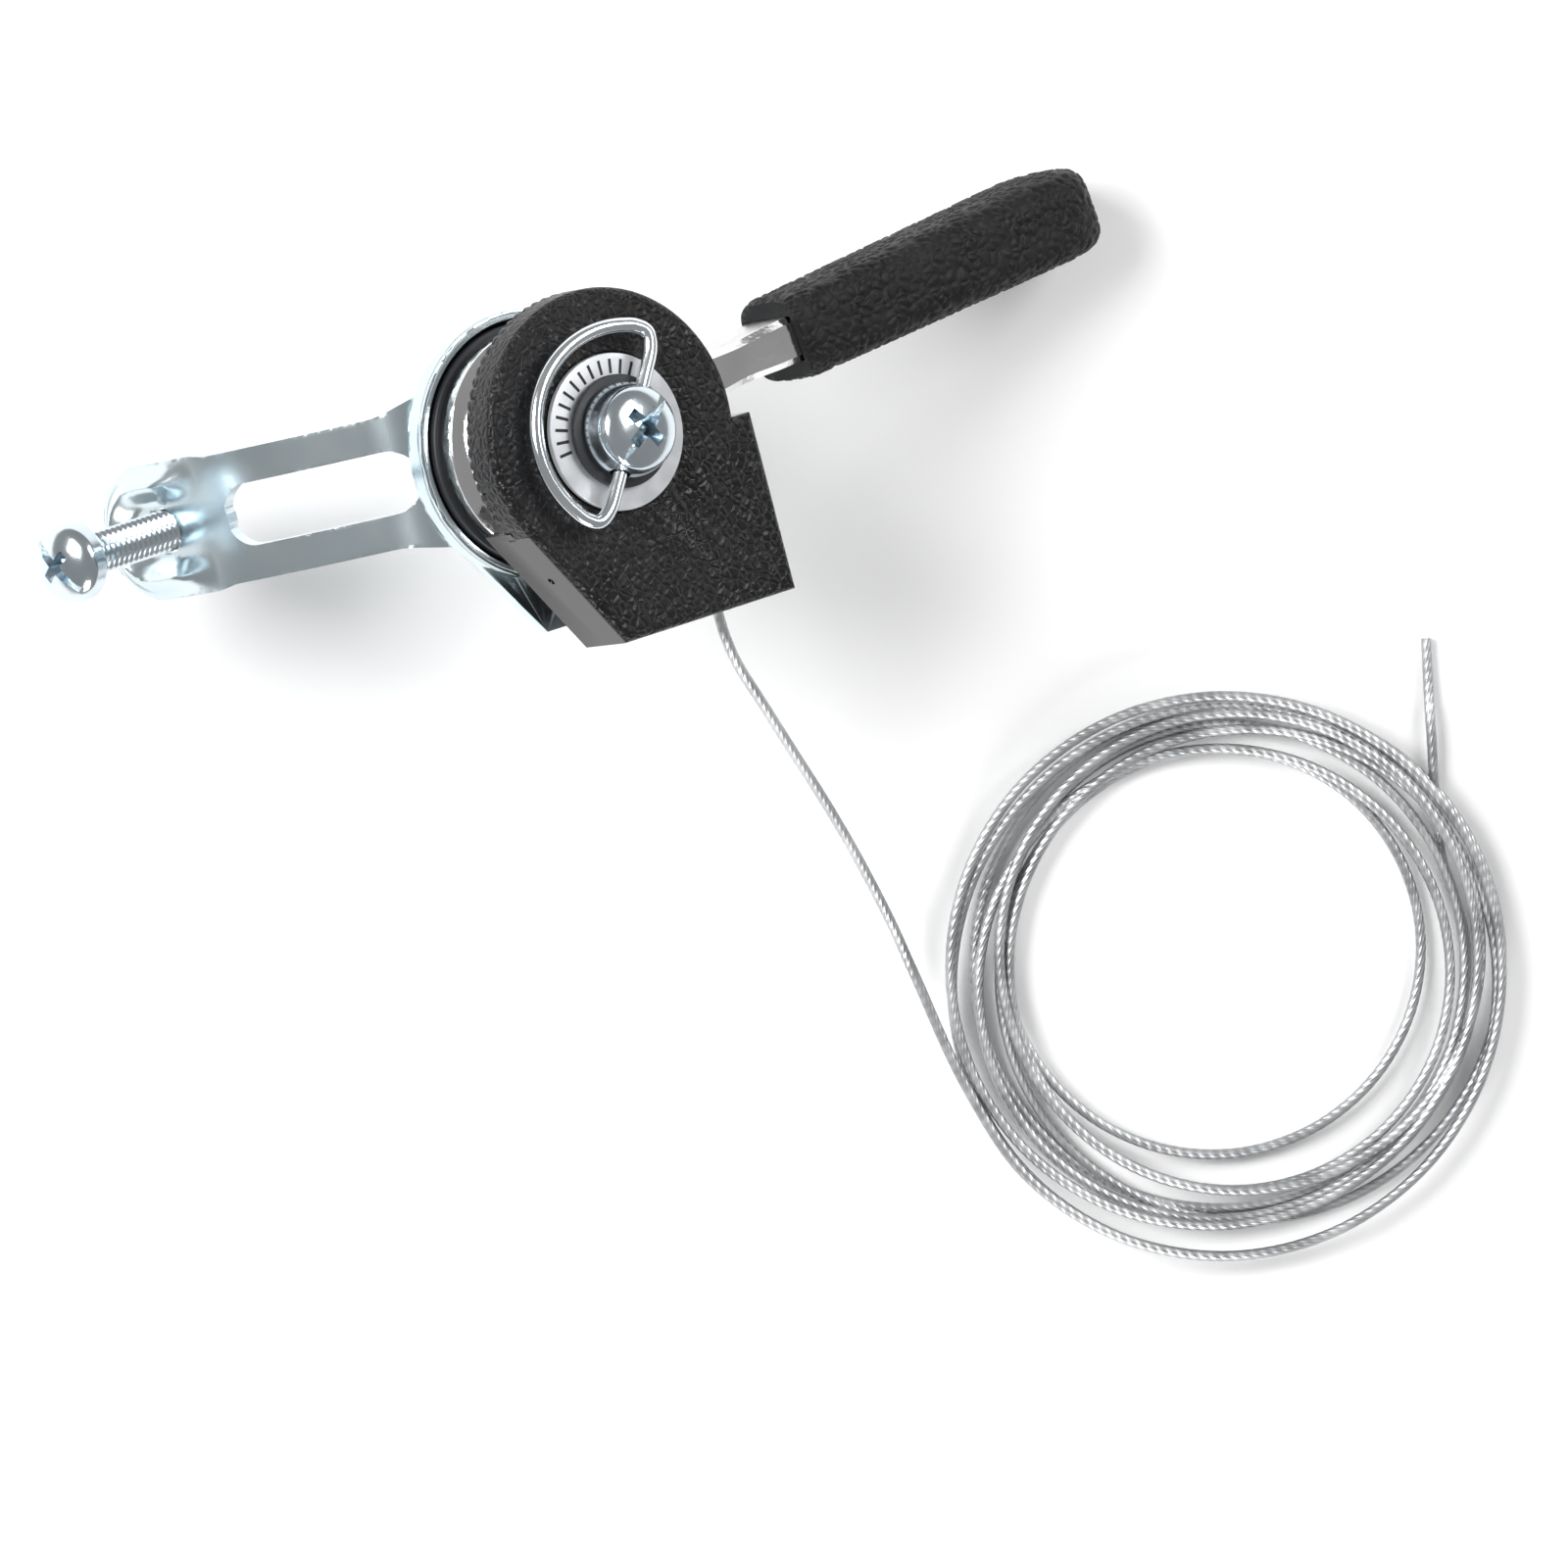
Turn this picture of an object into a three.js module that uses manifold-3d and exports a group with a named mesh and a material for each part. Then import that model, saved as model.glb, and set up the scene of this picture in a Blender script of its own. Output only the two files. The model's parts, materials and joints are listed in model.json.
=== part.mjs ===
// A friction thumb shifter for a bicycle handlebar, lying on a table with its inner cable coiled beside it.
// Units are millimetres and +Z is up. The mechanism is drawn in its own frame, the handlebar axis along Y and
// the pivot axis along Z through the handlebar axis, and one group then lays it on the table.
import * as THREE from "three";
import { mergeVertices } from "three/addons/utils/BufferGeometryUtils.js";
import Module from "manifold-3d";

const wasm = await Module();
wasm.setup();

// ---------------------------------------------------------------- driving dimensions
const GAP = 0.3; // air left between pieces that rest on each other
const ROUND = 40; // sides of a large turned piece

const LEAN = THREE.MathUtils.degToRad(31.3); // tilt of the pivot axis from upright, about the handlebar axis
const BAR_AXIS = new THREE.Vector3(-14.4, 3.48, 24.1); // where the handlebar axis crosses the pivot axis

const STRAP_T = 1.6; // clamp band thickness
const SEAT_Z = 12.4; // mid-thickness height of the band where it carries the base
const BAND_R = 12.4; // mid-thickness radius of the leg that wraps the handlebar
const TAB_R = 7.7; // half width and end radius of the screw tab
const LEG_A_HALF = 7.3; // half width of the slotted leg
const LEG_B_HALF = 5.6; // half width of the wrapping leg
const SEAT_HALF = 8.8; // half width under the base
const SLOT_A_HALF = 3.5; // half width of the long slot
const SLOT_B_HALF = 1.6; // half width of the slot in the hooked end
const RIM_HEIGHT = 1.5; // pressed rim that stiffens the screw tab
const RIM_R = 5.3; // centre-line radius of that rim
const RIM_HALF = 2.2; // half width of that rim

const CLAMP_SCREW_R = 2.4; // M5 thread
const CLAMP_HEAD_R = 4.6;
const CLAMP_SCREW_OUT = 14.2; // shank left outside the tab
const CLAMP_SCREW_IN = 5.8; // shank through the tab
const TAB_HOLE_AT = 7.2; // distance of the screw hole from the tab's bend

const BASE_R = 15;
const BASE_WALL = 1.2;
const BASE_Z = 13.5; // underside of the base
const BASE_H = 3.5;
const STUD_R = 3.9;
const STUD_TOP = 27.5;

const DRUM_R = 13;
const DRUM_Z = 17.7;
const DRUM_H = 9.5;
const GROOVE_Z = 21.5; // height of the cable groove's middle
const GROOVE_ROOT = 11.5;
const POCKET_R = 9.2; // well in the drum that holds the friction stack
const POCKET_Z = 22;
const DISC_R = 8.8; // friction discs, which turn with the lever
const DISC_LOWER = [POCKET_Z + GAP, 23.2];
const DISC_UPPER = [24.8, 25.6];
const WASHER_R = 8.6; // keyed washers, which the stud holds still
const WASHER_LOWER = [23.5, 24.5];
const WASHER_UPPER = [25.9, 26.9];
const SPRING_R = 7.6; // dished spring washer
const SPRING_LOW = 27.2;
const SPRING_RISE = 0.7;
const SPRING_T = 0.6;
const KEY_HALF = 3.2; // half distance between the stud's flats
const FLANGE_R = 6; // flange on the stud that holds the base down
const STUD_BORE_R = 2.6;
const STUD_BORE_Z = 18.4;
const CABLE_R = 0.6;
const CABLE_ORBIT = 12.4; // radius of the cable on the drum
const NIPPLE_R = 2.1;

const ARM_ANGLE = THREE.MathUtils.degToRad(6.5); // lever direction at rest, from +X towards +Y
const ARM_H = 8.4;
const ARM_T = 5.2;
const ARM_END = 30.6; // where the grip starts
const TANG_END = 62;
const TANG_H = 6;
const TANG_T = 3.2;
const GRIP_END = 74.6;
const GRIP_Z = 22.4; // height of the arm's and the grip's centre line

const COVER_R = 15.9;
const COVER_TOP = 32.6;
const COVER_SKIRT = 27.5; // lower edge of the round part
const COVER_WALL = 1.5;
const BLOCK_BOTTOM = 23.9; // lower edge of the cable block
const BLOCK_X = 18.2; // right wall of the cable block
const BLOCK_Y = -22.4; // end wall of the cable block
const BLOCK_CORNER_X = -4.9; // where the end wall meets the slanted wall
const BLOCK_SHOULDER_Y = -2.3;
const BLOCK_LEFT = new THREE.Vector2(-14.1, -7.6); // upper end of the slanted wall below the skirt
const COVER_ROOF = 2.4; // roof thickness, the dial's seat included
const COVER_BOSS_R = 6.4;
const COVER_BOSS_Z = 28.9;
const COVER_BORE_R = 3;
const CABLE_WAY = [11.9, 14.5]; // notch in the end wall, from and to in X
const CABLE_WAY_TOP = 25.2;

const DIAL_R = 8.6;
const DIAL_HOLE_R = 3.2;
const DIAL_Z = 32.5;
const DIAL_T = 0.7;
const SEAL_R = 6.2;
const SEAL_HOLE_R = 2.7;
const SEAL_T = 0.9;
const SEAL_Z = DIAL_Z + DIAL_T + GAP;
const HEAD_R = 5.3;
const HEAD_Z = 34.7;
const BAIL_R = 11.4; // radius of the wire bail's bow
const BAIL_WIRE_R = 0.85;
const BAIL_Z = 36; // height of the bail's pivot line
const BAIL_DROOP = THREE.MathUtils.degToRad(7); // how far the bow sinks to the cover
const BAIL_ANGLE = THREE.MathUtils.degToRad(56.3); // direction of the pivot line from +X
const BAIL_END = 3.9; // where the wire's ends stop, from the screw's axis

const COIL_CENTRE = new THREE.Vector2(56.7, -77.6); // middle of the cable coil on the table
const COIL_OUTER = 35;
const COIL_INNER = 20;
const COIL_LOW = 0.05;
const COIL_TOP = 5.2;

// ---------------------------------------------------------------- materials
function finish(color, roughness, metalness) {
  return new THREE.MeshStandardMaterial({ color, roughness, metalness });
}
const zinc = finish(0xc9d7dd, 0.32, 0.9);
const chrome = finish(0xdcdcde, 0.15, 1);
const steel = finish(0xb4b6b8, 0.35, 1);
const rubber = finish(0x1a1a1b, 0.62, 0);
const plastic = finish(0x131314, 0.38, 0);
const aluminium = finish(0xd4d6d8, 0.3, 0.85);
const fibre = finish(0x6b3f2a, 0.8, 0);
const wire = finish(0x9c9ea0, 0.35, 1);

// ---------------------------------------------------------------- solids
// A closed geometry as a solid that can be joined and cut.
function solid(geometry) {
  const bare = geometry.clone();
  bare.deleteAttribute("normal");
  bare.deleteAttribute("uv");
  const merged = mergeVertices(bare, 1e-4);
  const vertProperties = new Float32Array(merged.attributes.position.array);
  const triVerts = new Uint32Array(merged.index.array);
  return new wasm.Manifold(new wasm.Mesh({ numProp: 3, vertProperties, triVerts }));
}

// A solid back as a geometry for a mesh.
function shell(body) {
  const mesh = body.getMesh();
  const geometry = new THREE.BufferGeometry();
  geometry.setAttribute("position", new THREE.BufferAttribute(new Float32Array(mesh.vertProperties), 3));
  geometry.setIndex(new THREE.BufferAttribute(new Uint32Array(mesh.triVerts), 1));
  geometry.computeVertexNormals();
  return geometry;
}

// A turned solid about the Z axis from [radius, height] points that start and end on the axis or close.
function turned(profile, sides = ROUND) {
  const points = profile.map(([radius, height]) => new THREE.Vector2(radius, height));
  return new THREE.LatheGeometry(points, sides).rotateX(Math.PI / 2);
}

// A flat ring, or a tube, between two heights.
function ring(outer, inner, low, high, sides = ROUND) {
  return turned([[inner, low], [outer, low], [outer, high], [inner, high], [inner, low]], sides);
}

// A plain cylinder between two heights.
function disc(radius, low, high, sides = ROUND) {
  return turned([[0, low], [radius, low], [radius, high], [0, high]], sides);
}

// A box from its lowest corner to its highest.
function block(low, high) {
  const size = high.map((value, axis) => value - low[axis]);
  const middle = high.map((value, axis) => (value + low[axis]) / 2);
  return new THREE.BoxGeometry(...size).translate(...middle);
}

// A plate of the given outline between two heights.
function plate(outline, low, high, curveSegments = 16) {
  const options = { depth: high - low, bevelEnabled: false, curveSegments };
  return new THREE.ExtrudeGeometry(outline, options).translate(0, 0, low);
}

function polygon(points) {
  return new THREE.Shape(points.map(([x, y]) => new THREE.Vector2(x, y)));
}

// A round bar along a curve.
function bar(curve, radius, steps, sides = 8) {
  const section = new THREE.Shape();
  section.absarc(0, 0, radius, 0, 2 * Math.PI);
  const options = { steps, extrudePath: curve, bevelEnabled: false, curveSegments: sides / 2 };
  return new THREE.ExtrudeGeometry(section, options);
}

// ---------------------------------------------------------------- clamp band
// The band's mid-line in the XZ plane: straight runs with rounded corners, then the arc round the handlebar.
const BAND_CORNERS = [
  [-28.9, -28.6, 0],
  [-25.3, -12.3, 3],
  [-22.3, -4, 6],
  [-12.8, SEAT_Z, 5],
  [0, SEAT_Z, 0],
];
const HOOK_ANGLE = THREE.MathUtils.degToRad(-24); // where the wrapping leg turns out
const HOOK_LENGTH = 13.5;
const HOOK_SLOPE = THREE.MathUtils.degToRad(-40);
const HOOK_BEND = 5;

function roundedRun(path, corners) {
  let from = new THREE.Vector2(corners[0][0], corners[0][1]);
  for (let i = 1; i < corners.length; i += 1) {
    const corner = new THREE.Vector2(corners[i][0], corners[i][1]);
    const cut = corners[i][2];
    if (cut === 0) {
      path.add(new THREE.LineCurve(from, corner));
      from = corner;
    } else {
      const next = new THREE.Vector2(corners[i + 1][0], corners[i + 1][1]);
      const before = corner.clone().add(from.clone().sub(corner).setLength(cut));
      const after = corner.clone().add(next.clone().sub(corner).setLength(cut));
      path.add(new THREE.LineCurve(from, before));
      path.add(new THREE.QuadraticBezierCurve(before, corner, after));
      from = after;
    }
  }
}

function bandLine() {
  const path = new THREE.CurvePath();
  roundedRun(path, BAND_CORNERS);
  path.add(new THREE.EllipseCurve(0, 0, BAND_R, BAND_R, Math.PI / 2, HOOK_ANGLE, true));
  const end = new THREE.Vector2(Math.cos(HOOK_ANGLE), Math.sin(HOOK_ANGLE)).multiplyScalar(BAND_R);
  const down = new THREE.Vector2(Math.sin(HOOK_ANGLE), -Math.cos(HOOK_ANGLE));
  const out = new THREE.Vector2(Math.cos(HOOK_SLOPE), Math.sin(HOOK_SLOPE));
  const knee = end.clone().addScaledVector(down, HOOK_BEND * 0.3);
  const after = knee.clone().addScaledVector(out, HOOK_BEND);
  const tip = knee.clone().addScaledVector(out, HOOK_LENGTH);
  path.add(new THREE.QuadraticBezierCurve(end, knee, after));
  path.add(new THREE.LineCurve(after, tip));
  return path;
}

const band = bandLine();
band.arcLengthDivisions = 800;
const BAND_LENGTH = band.getLength();
const TAB_LENGTH = Math.hypot(
  BAND_CORNERS[1][0] - BAND_CORNERS[0][0], BAND_CORNERS[1][1] - BAND_CORNERS[0][1]);
const HOOK_START = BAND_LENGTH - HOOK_LENGTH;
const SEAT_START = 48; // length along the band at which it is flat under the base
const SEAT_END = 66;

// Mid-line point and outward normal at a length along the band.
function bandAt(length) {
  const u = THREE.MathUtils.clamp(length / BAND_LENGTH, 0, 1);
  const point = band.getPointAt(u);
  const along = band.getTangentAt(u);
  return { point, along, out: new THREE.Vector2(-along.y, along.x) };
}

// Half width of the band at a length along it, with round ends.
function bandHalf(length) {
  const step = THREE.MathUtils.smoothstep;
  let half = TAB_R + (LEG_A_HALF - TAB_R) * step(length, TAB_LENGTH - 1, TAB_LENGTH + 2);
  half += (SEAT_HALF - LEG_A_HALF) * step(length, SEAT_START - 8, SEAT_START);
  half += (LEG_B_HALF - SEAT_HALF) * step(length, SEAT_END - 6, SEAT_END + 3);
  if (length < TAB_R) {
    half = Math.min(half, Math.sqrt(Math.max(TAB_R ** 2 - (TAB_R - length) ** 2, 2)));
  }
  const left = BAND_LENGTH - length;
  if (left < LEG_B_HALF) {
    half = Math.min(half, Math.sqrt(Math.max(LEG_B_HALF ** 2 - (LEG_B_HALF - left) ** 2, 2)));
  }
  return half;
}

// Height of the pressed forms: the horseshoe rim round the screw hole, and the dish of the hooked end.
function bandRelief(length, y) {
  const fromBow = length < TAB_R ? Math.hypot(TAB_R - length, y) : Math.abs(y);
  const rim = Math.max(0, 1 - Math.abs(fromBow - RIM_R) / RIM_HALF);
  const fade = 1 - THREE.MathUtils.smoothstep(length, TAB_LENGTH - 3, TAB_LENGTH);
  const into = THREE.MathUtils.smoothstep(length, HOOK_START + 1, HOOK_START + 6);
  return RIM_HEIGHT * Math.sin(rim * Math.PI / 2) ** 2 * fade + into * 1.3 * (y / LEG_B_HALF) ** 2;
}

// Lengths along the band that its mesh steps through: close together at the round ends.
function bandStations(count) {
  const capSteps = 6;
  const stations = [];
  for (let i = 0; i <= count; i += 1) {
    const tail = count - i;
    if (i < capSteps) {
      stations.push(TAB_R * (1 - Math.cos((i / capSteps) * Math.PI / 2)));
    } else if (tail < capSteps) {
      stations.push(BAND_LENGTH - LEG_B_HALF * (1 - Math.cos((tail / capSteps) * Math.PI / 2)));
    } else {
      const share = (i - capSteps) / (count - 2 * capSteps);
      stations.push(TAB_R + share * (BAND_LENGTH - TAB_R - LEG_B_HALF));
    }
  }
  return stations;
}

// Bends a flat strip of the given lengths, half width and thickness along the band.
function bent(stations, half, thickness, across, relief) {
  const count = stations.length - 1;
  const geometry = new THREE.BoxGeometry(count, 2, thickness, count, across, 1);
  const position = geometry.attributes.position;
  for (let i = 0; i < position.count; i += 1) {
    const length = stations[Math.round(position.getX(i) + count / 2)];
    const y = position.getY(i) * half(length);
    const lift = position.getZ(i) + relief(length, y);
    const { point, out } = bandAt(length);
    position.setXYZ(i, point.x + out.x * lift, y, point.y + out.y * lift);
  }
  return geometry;
}

// A slot cutter that follows the band between two lengths.
function slotCutter(from, to, half) {
  const steps = 16;
  const stations = Array.from({ length: steps + 1 }, (_, i) => from + ((to - from) * i) / steps);
  const rounded = (length) => {
    const edge = Math.min(length - from, to - length, half);
    return Math.sqrt(Math.max(half ** 2 - (half - edge) ** 2, 0.04 * half ** 2));
  };
  return solid(bent(stations, rounded, 8 * STRAP_T, 1, () => 0));
}

// Where the clamp screw crosses the tab, and its direction out towards the head.
const tabFrame = bandAt(TAB_LENGTH - TAB_HOLE_AT);
const tabPoint = new THREE.Vector3(tabFrame.point.x, 0, tabFrame.point.y);
const tabOut = new THREE.Vector3(tabFrame.out.x, 0, tabFrame.out.y);
const tabTurn = new THREE.Quaternion().setFromUnitVectors(new THREE.Vector3(0, 0, 1), tabOut);

function onTab(geometry) {
  return geometry.applyQuaternion(tabTurn).translate(tabPoint.x, tabPoint.y, tabPoint.z);
}

function clampBand() {
  const strip = solid(bent(bandStations(60), bandHalf, STRAP_T, 10, bandRelief));
  const screwHole = solid(onTab(disc(CLAMP_SCREW_R + GAP, -8, 8, 20)));
  const studHole = solid(disc(STUD_R + GAP, SEAT_Z - 4, SEAT_Z + 4, 24));
  return shell(strip
    .subtract(slotCutter(TAB_LENGTH + 3, SEAT_START - 3.5, SLOT_A_HALF))
    .subtract(slotCutter(HOOK_START + 2.5, BAND_LENGTH - 2.6, SLOT_B_HALF))
    .subtract(screwHole)
    .subtract(studHole));
}

// A cross recess and a slot, cut down into a screw head whose top is at the given height.
function driveCut(top, size) {
  const arm = size * 0.16;
  const cross = solid(block([-size * 0.5, -arm, top - size * 0.42], [size * 0.5, arm, top + 1]));
  const slot = solid(block([-size * 1.1, -arm * 0.7, top - size * 0.2], [size * 1.1, arm * 0.7, top + 1]));
  return cross.add(cross.rotate([0, 0, 90])).add(slot).rotate([0, 0, 35]);
}

function clampScrew() {
  const under = CLAMP_SCREW_OUT;
  const body = turned([
    [0, -CLAMP_SCREW_IN],
    [CLAMP_SCREW_R - 0.5, -CLAMP_SCREW_IN],
    [CLAMP_SCREW_R, -CLAMP_SCREW_IN + 0.6],
    [CLAMP_SCREW_R, under],
    [CLAMP_HEAD_R, under],
    [CLAMP_HEAD_R, under + 1.8],
    [CLAMP_HEAD_R * 0.85, under + 2.8],
    [CLAMP_HEAD_R * 0.5, under + 3.5],
    [0, under + 3.8],
  ], 20);
  return onTab(shell(solid(body).subtract(driveCut(under + 3.8, CLAMP_HEAD_R))));
}

// ---------------------------------------------------------------- base and pivot
function basePlate() {
  const top = BASE_Z + BASE_H;
  const floor = BASE_Z + BASE_WALL;
  const cup = solid(turned([
    [STUD_R + GAP, BASE_Z],
    [BASE_R, BASE_Z],
    [BASE_R, top],
    [BASE_R - BASE_WALL, top],
    [BASE_R - BASE_WALL, floor],
    [STUD_R + GAP, floor],
    [STUD_R + GAP, BASE_Z],
  ]));
  const tongue = solid(plate(polygon([
    [-10.8, -9.5], [-3.4, -20.4], [12.3, -20.4], [12.3, -5], [6, -13.5], [-4, -13.5],
  ]), BASE_Z, floor));
  const channel = plate(polygon([
    [11.4, BASE_Z], [12.3, BASE_Z], [14.9, 10.6], [17.5, BASE_Z + 0.6], [17.5, floor + 0.6],
    [14.9, 12.2], [12.8, floor], [11.4, floor],
  ]), 0, 14).rotateX(Math.PI / 2).translate(0, -6.4, 0);
  const ears = [-1, 1].map((side) => {
    const near = side * (SEAT_HALF + GAP);
    const far = side * (SEAT_HALF + GAP + BASE_WALL);
    return solid(block([-8, Math.min(near, far), SEAT_Z - 0.8], [-2, Math.max(near, far), BASE_Z + 0.4]));
  });
  return shell(cup.add(tongue).add(solid(channel)).add(ears[0]).add(ears[1]));
}

// The stud runs up through the whole stack; its upper end has two flats and a blind threaded hole.
function pivotStud() {
  const low = SEAT_Z - STRAP_T / 2 + 0.1;
  const flange = BASE_Z + BASE_WALL + GAP;
  const body = solid(turned([
    [0, low], [STUD_R, low], [STUD_R, flange], [FLANGE_R, flange], [FLANGE_R, flange + 1],
    [STUD_R, flange + 1], [STUD_R, STUD_TOP], [STUD_BORE_R, STUD_TOP], [STUD_BORE_R, STUD_BORE_Z],
    [0, STUD_BORE_Z],
  ], 24));
  const flats = [-1, 1].map((side) => solid(block(
    [-FLANGE_R, Math.min(side * KEY_HALF, side * FLANGE_R), POCKET_Z + 0.2],
    [FLANGE_R, Math.max(side * KEY_HALF, side * FLANGE_R), STUD_TOP + 1])));
  return shell(body.subtract(flats[0]).subtract(flats[1]));
}

function baseRing() {
  return ring(BASE_R - BASE_WALL - GAP, FLANGE_R + GAP, BASE_Z + BASE_WALL + GAP, DRUM_Z - GAP);
}

// A flat washer whose bore has two flats that hold it still on the stud.
function keyedWasher(outer, low, high) {
  const bore = solid(disc(STUD_R + GAP, low - 1, high + 1, 24));
  const slab = solid(block([-6, -KEY_HALF - GAP, low - 1], [6, KEY_HALF + GAP, high + 1]));
  return shell(solid(disc(outer, low, high)).subtract(bore.intersect(slab)));
}

function springWasher() {
  const bore = STUD_R + GAP;
  const crown = SPRING_LOW + SPRING_RISE;
  return turned([
    [bore, crown], [SPRING_R, SPRING_LOW], [SPRING_R, SPRING_LOW + SPRING_T], [bore, crown + SPRING_T],
    [bore, crown],
  ]);
}

// ---------------------------------------------------------------- lever
function leverDrum() {
  const top = DRUM_Z + DRUM_H;
  const drum = solid(turned([
    [0, DRUM_Z], [DRUM_R, DRUM_Z], [DRUM_R, GROOVE_Z - 1.6], [GROOVE_ROOT + 0.4, GROOVE_Z - 0.9],
    [GROOVE_ROOT, GROOVE_Z], [GROOVE_ROOT + 0.4, GROOVE_Z + 0.9], [DRUM_R, GROOVE_Z + 1.6],
    [DRUM_R, top], [0, top],
  ], 48));
  const flatBar = (from, to, thickness, height) => solid(block(
    [from, -thickness / 2, GRIP_Z - height / 2], [to, thickness / 2, GRIP_Z + height / 2]));
  const arm = flatBar(11.6, ARM_END + 1, ARM_T, ARM_H);
  const tang = flatBar(ARM_END, TANG_END, TANG_T, TANG_H);
  const across = (radius, from, to, sides) => solid(
    disc(radius, -to, -from, sides).rotateX(Math.PI / 2).translate(CABLE_ORBIT, 0, GROOVE_Z));
  const boss = across(3.7, -0.6, 6.4, 20);
  const socket = across(NIPPLE_R + GAP, 1.6, 9, 20);
  const wireHole = across(CABLE_R + 0.5, -4, 4, 12);
  const well = solid(disc(POCKET_R, POCKET_Z, top + 1));
  const bore = solid(disc(STUD_R + GAP, DRUM_Z - 1, top + 1, 24));
  return shell(drum.add(boss).add(arm).add(tang)
    .subtract(well).subtract(bore).subtract(socket).subtract(wireHole));
}

// The soldered barrel on the cable's end, with the bit of wire that runs through the lever.
function cableNipple() {
  const barrel = turned([
    [0, -5.6], [NIPPLE_R, -5.6], [NIPPLE_R, -2], [CABLE_R, -2], [CABLE_R, 0.3], [0, 0.3],
  ], 16);
  return barrel.rotateX(Math.PI / 2).translate(CABLE_ORBIT, 0, GROOVE_Z);
}

// A tapered, round-ended rubber handle with a slit for the lever's tang.
function leverGrip() {
  const rings = 12;
  const length = GRIP_END - ARM_END;
  const body = new THREE.CylinderGeometry(1, 1, 1, 24, rings);
  const position = body.attributes.position;
  for (let i = 0; i < position.count; i += 1) {
    const share = position.getY(i) + 0.5;
    const spread = 1 - (1 - Math.min(1, share / 0.05)) ** 2 * 0.12;
    const nose = share > 0.86 ? Math.sqrt(Math.max(1 - ((share - 0.86) / 0.14) ** 2, 0)) * 0.6 + 0.4 : 1;
    const flat = Math.hypot(position.getX(i), position.getZ(i));
    const angle = Math.atan2(position.getZ(i), position.getX(i));
    const powers = Math.abs(Math.cos(angle)) ** 4 + Math.abs(Math.sin(angle)) ** 4;
    const square = flat * Math.min(1.3, powers ** -0.25);
    const halfHeight = (6 + 2 * share) * nose * spread;
    const halfThick = (5 + 0.35 * share) * Math.sqrt(nose) * spread;
    position.setXYZ(i,
      ARM_END + share * length,
      -square * Math.cos(angle) * halfThick,
      GRIP_Z + square * Math.sin(angle) * halfHeight);
  }
  const slit = solid(block(
    [ARM_END - 1, -TANG_T / 2 - GAP, GRIP_Z - TANG_H / 2 - GAP],
    [TANG_END + GAP, TANG_T / 2 + GAP, GRIP_Z + TANG_H / 2 + GAP]));
  const rebate = solid(block(
    [ARM_END - 1, -ARM_T / 2 - GAP, GRIP_Z - ARM_H / 2 - GAP],
    [ARM_END + 1 + GAP, ARM_T / 2 + GAP, GRIP_Z + ARM_H / 2 + GAP]));
  return shell(solid(body).subtract(slit).subtract(rebate));
}

// ---------------------------------------------------------------- cover
// Round cover with a cable block on one side. A larger inset gives the line of its inner face.
function coverOutline(inset) {
  const radius = COVER_R - inset;
  const corner = new THREE.Vector2(BLOCK_CORNER_X, BLOCK_Y);
  const reach = corner.length();
  const tangent = corner.angle() - Math.acos(COVER_R / reach);
  const side = new THREE.Vector2(Math.cos(tangent), Math.sin(tangent));
  const start = Math.asin((BLOCK_SHOULDER_Y - inset) / radius);
  const slope = Math.tan((corner.angle() - tangent + Math.PI / 2 - Math.acos(COVER_R / reach)) / 4) * inset;
  const outline = new THREE.Shape();
  outline.moveTo(BLOCK_X - inset, BLOCK_Y + inset);
  outline.lineTo(BLOCK_X - inset, BLOCK_SHOULDER_Y - inset);
  outline.lineTo(Math.cos(start) * radius, BLOCK_SHOULDER_Y - inset);
  outline.absarc(0, 0, radius, start, tangent, false);
  outline.lineTo(side.x * radius, side.y * radius);
  outline.lineTo(BLOCK_CORNER_X + slope + inset * 0.3, BLOCK_Y + inset);
  outline.closePath();
  return outline;
}

// Part of the block that reaches down beside the drum.
function blockOutline(inset) {
  return polygon([
    [BLOCK_X - inset, BLOCK_SHOULDER_Y + (inset > 0 ? 8 : 0)],
    [BLOCK_LEFT.x + inset * 1.2, inset > 0 ? 8 : BLOCK_LEFT.y],
    [BLOCK_LEFT.x + inset * 1.2, BLOCK_LEFT.y + inset * 0.4],
    [BLOCK_CORNER_X + inset * 0.6, BLOCK_Y + inset],
    [BLOCK_X - inset, BLOCK_Y + inset],
  ]);
}

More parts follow.
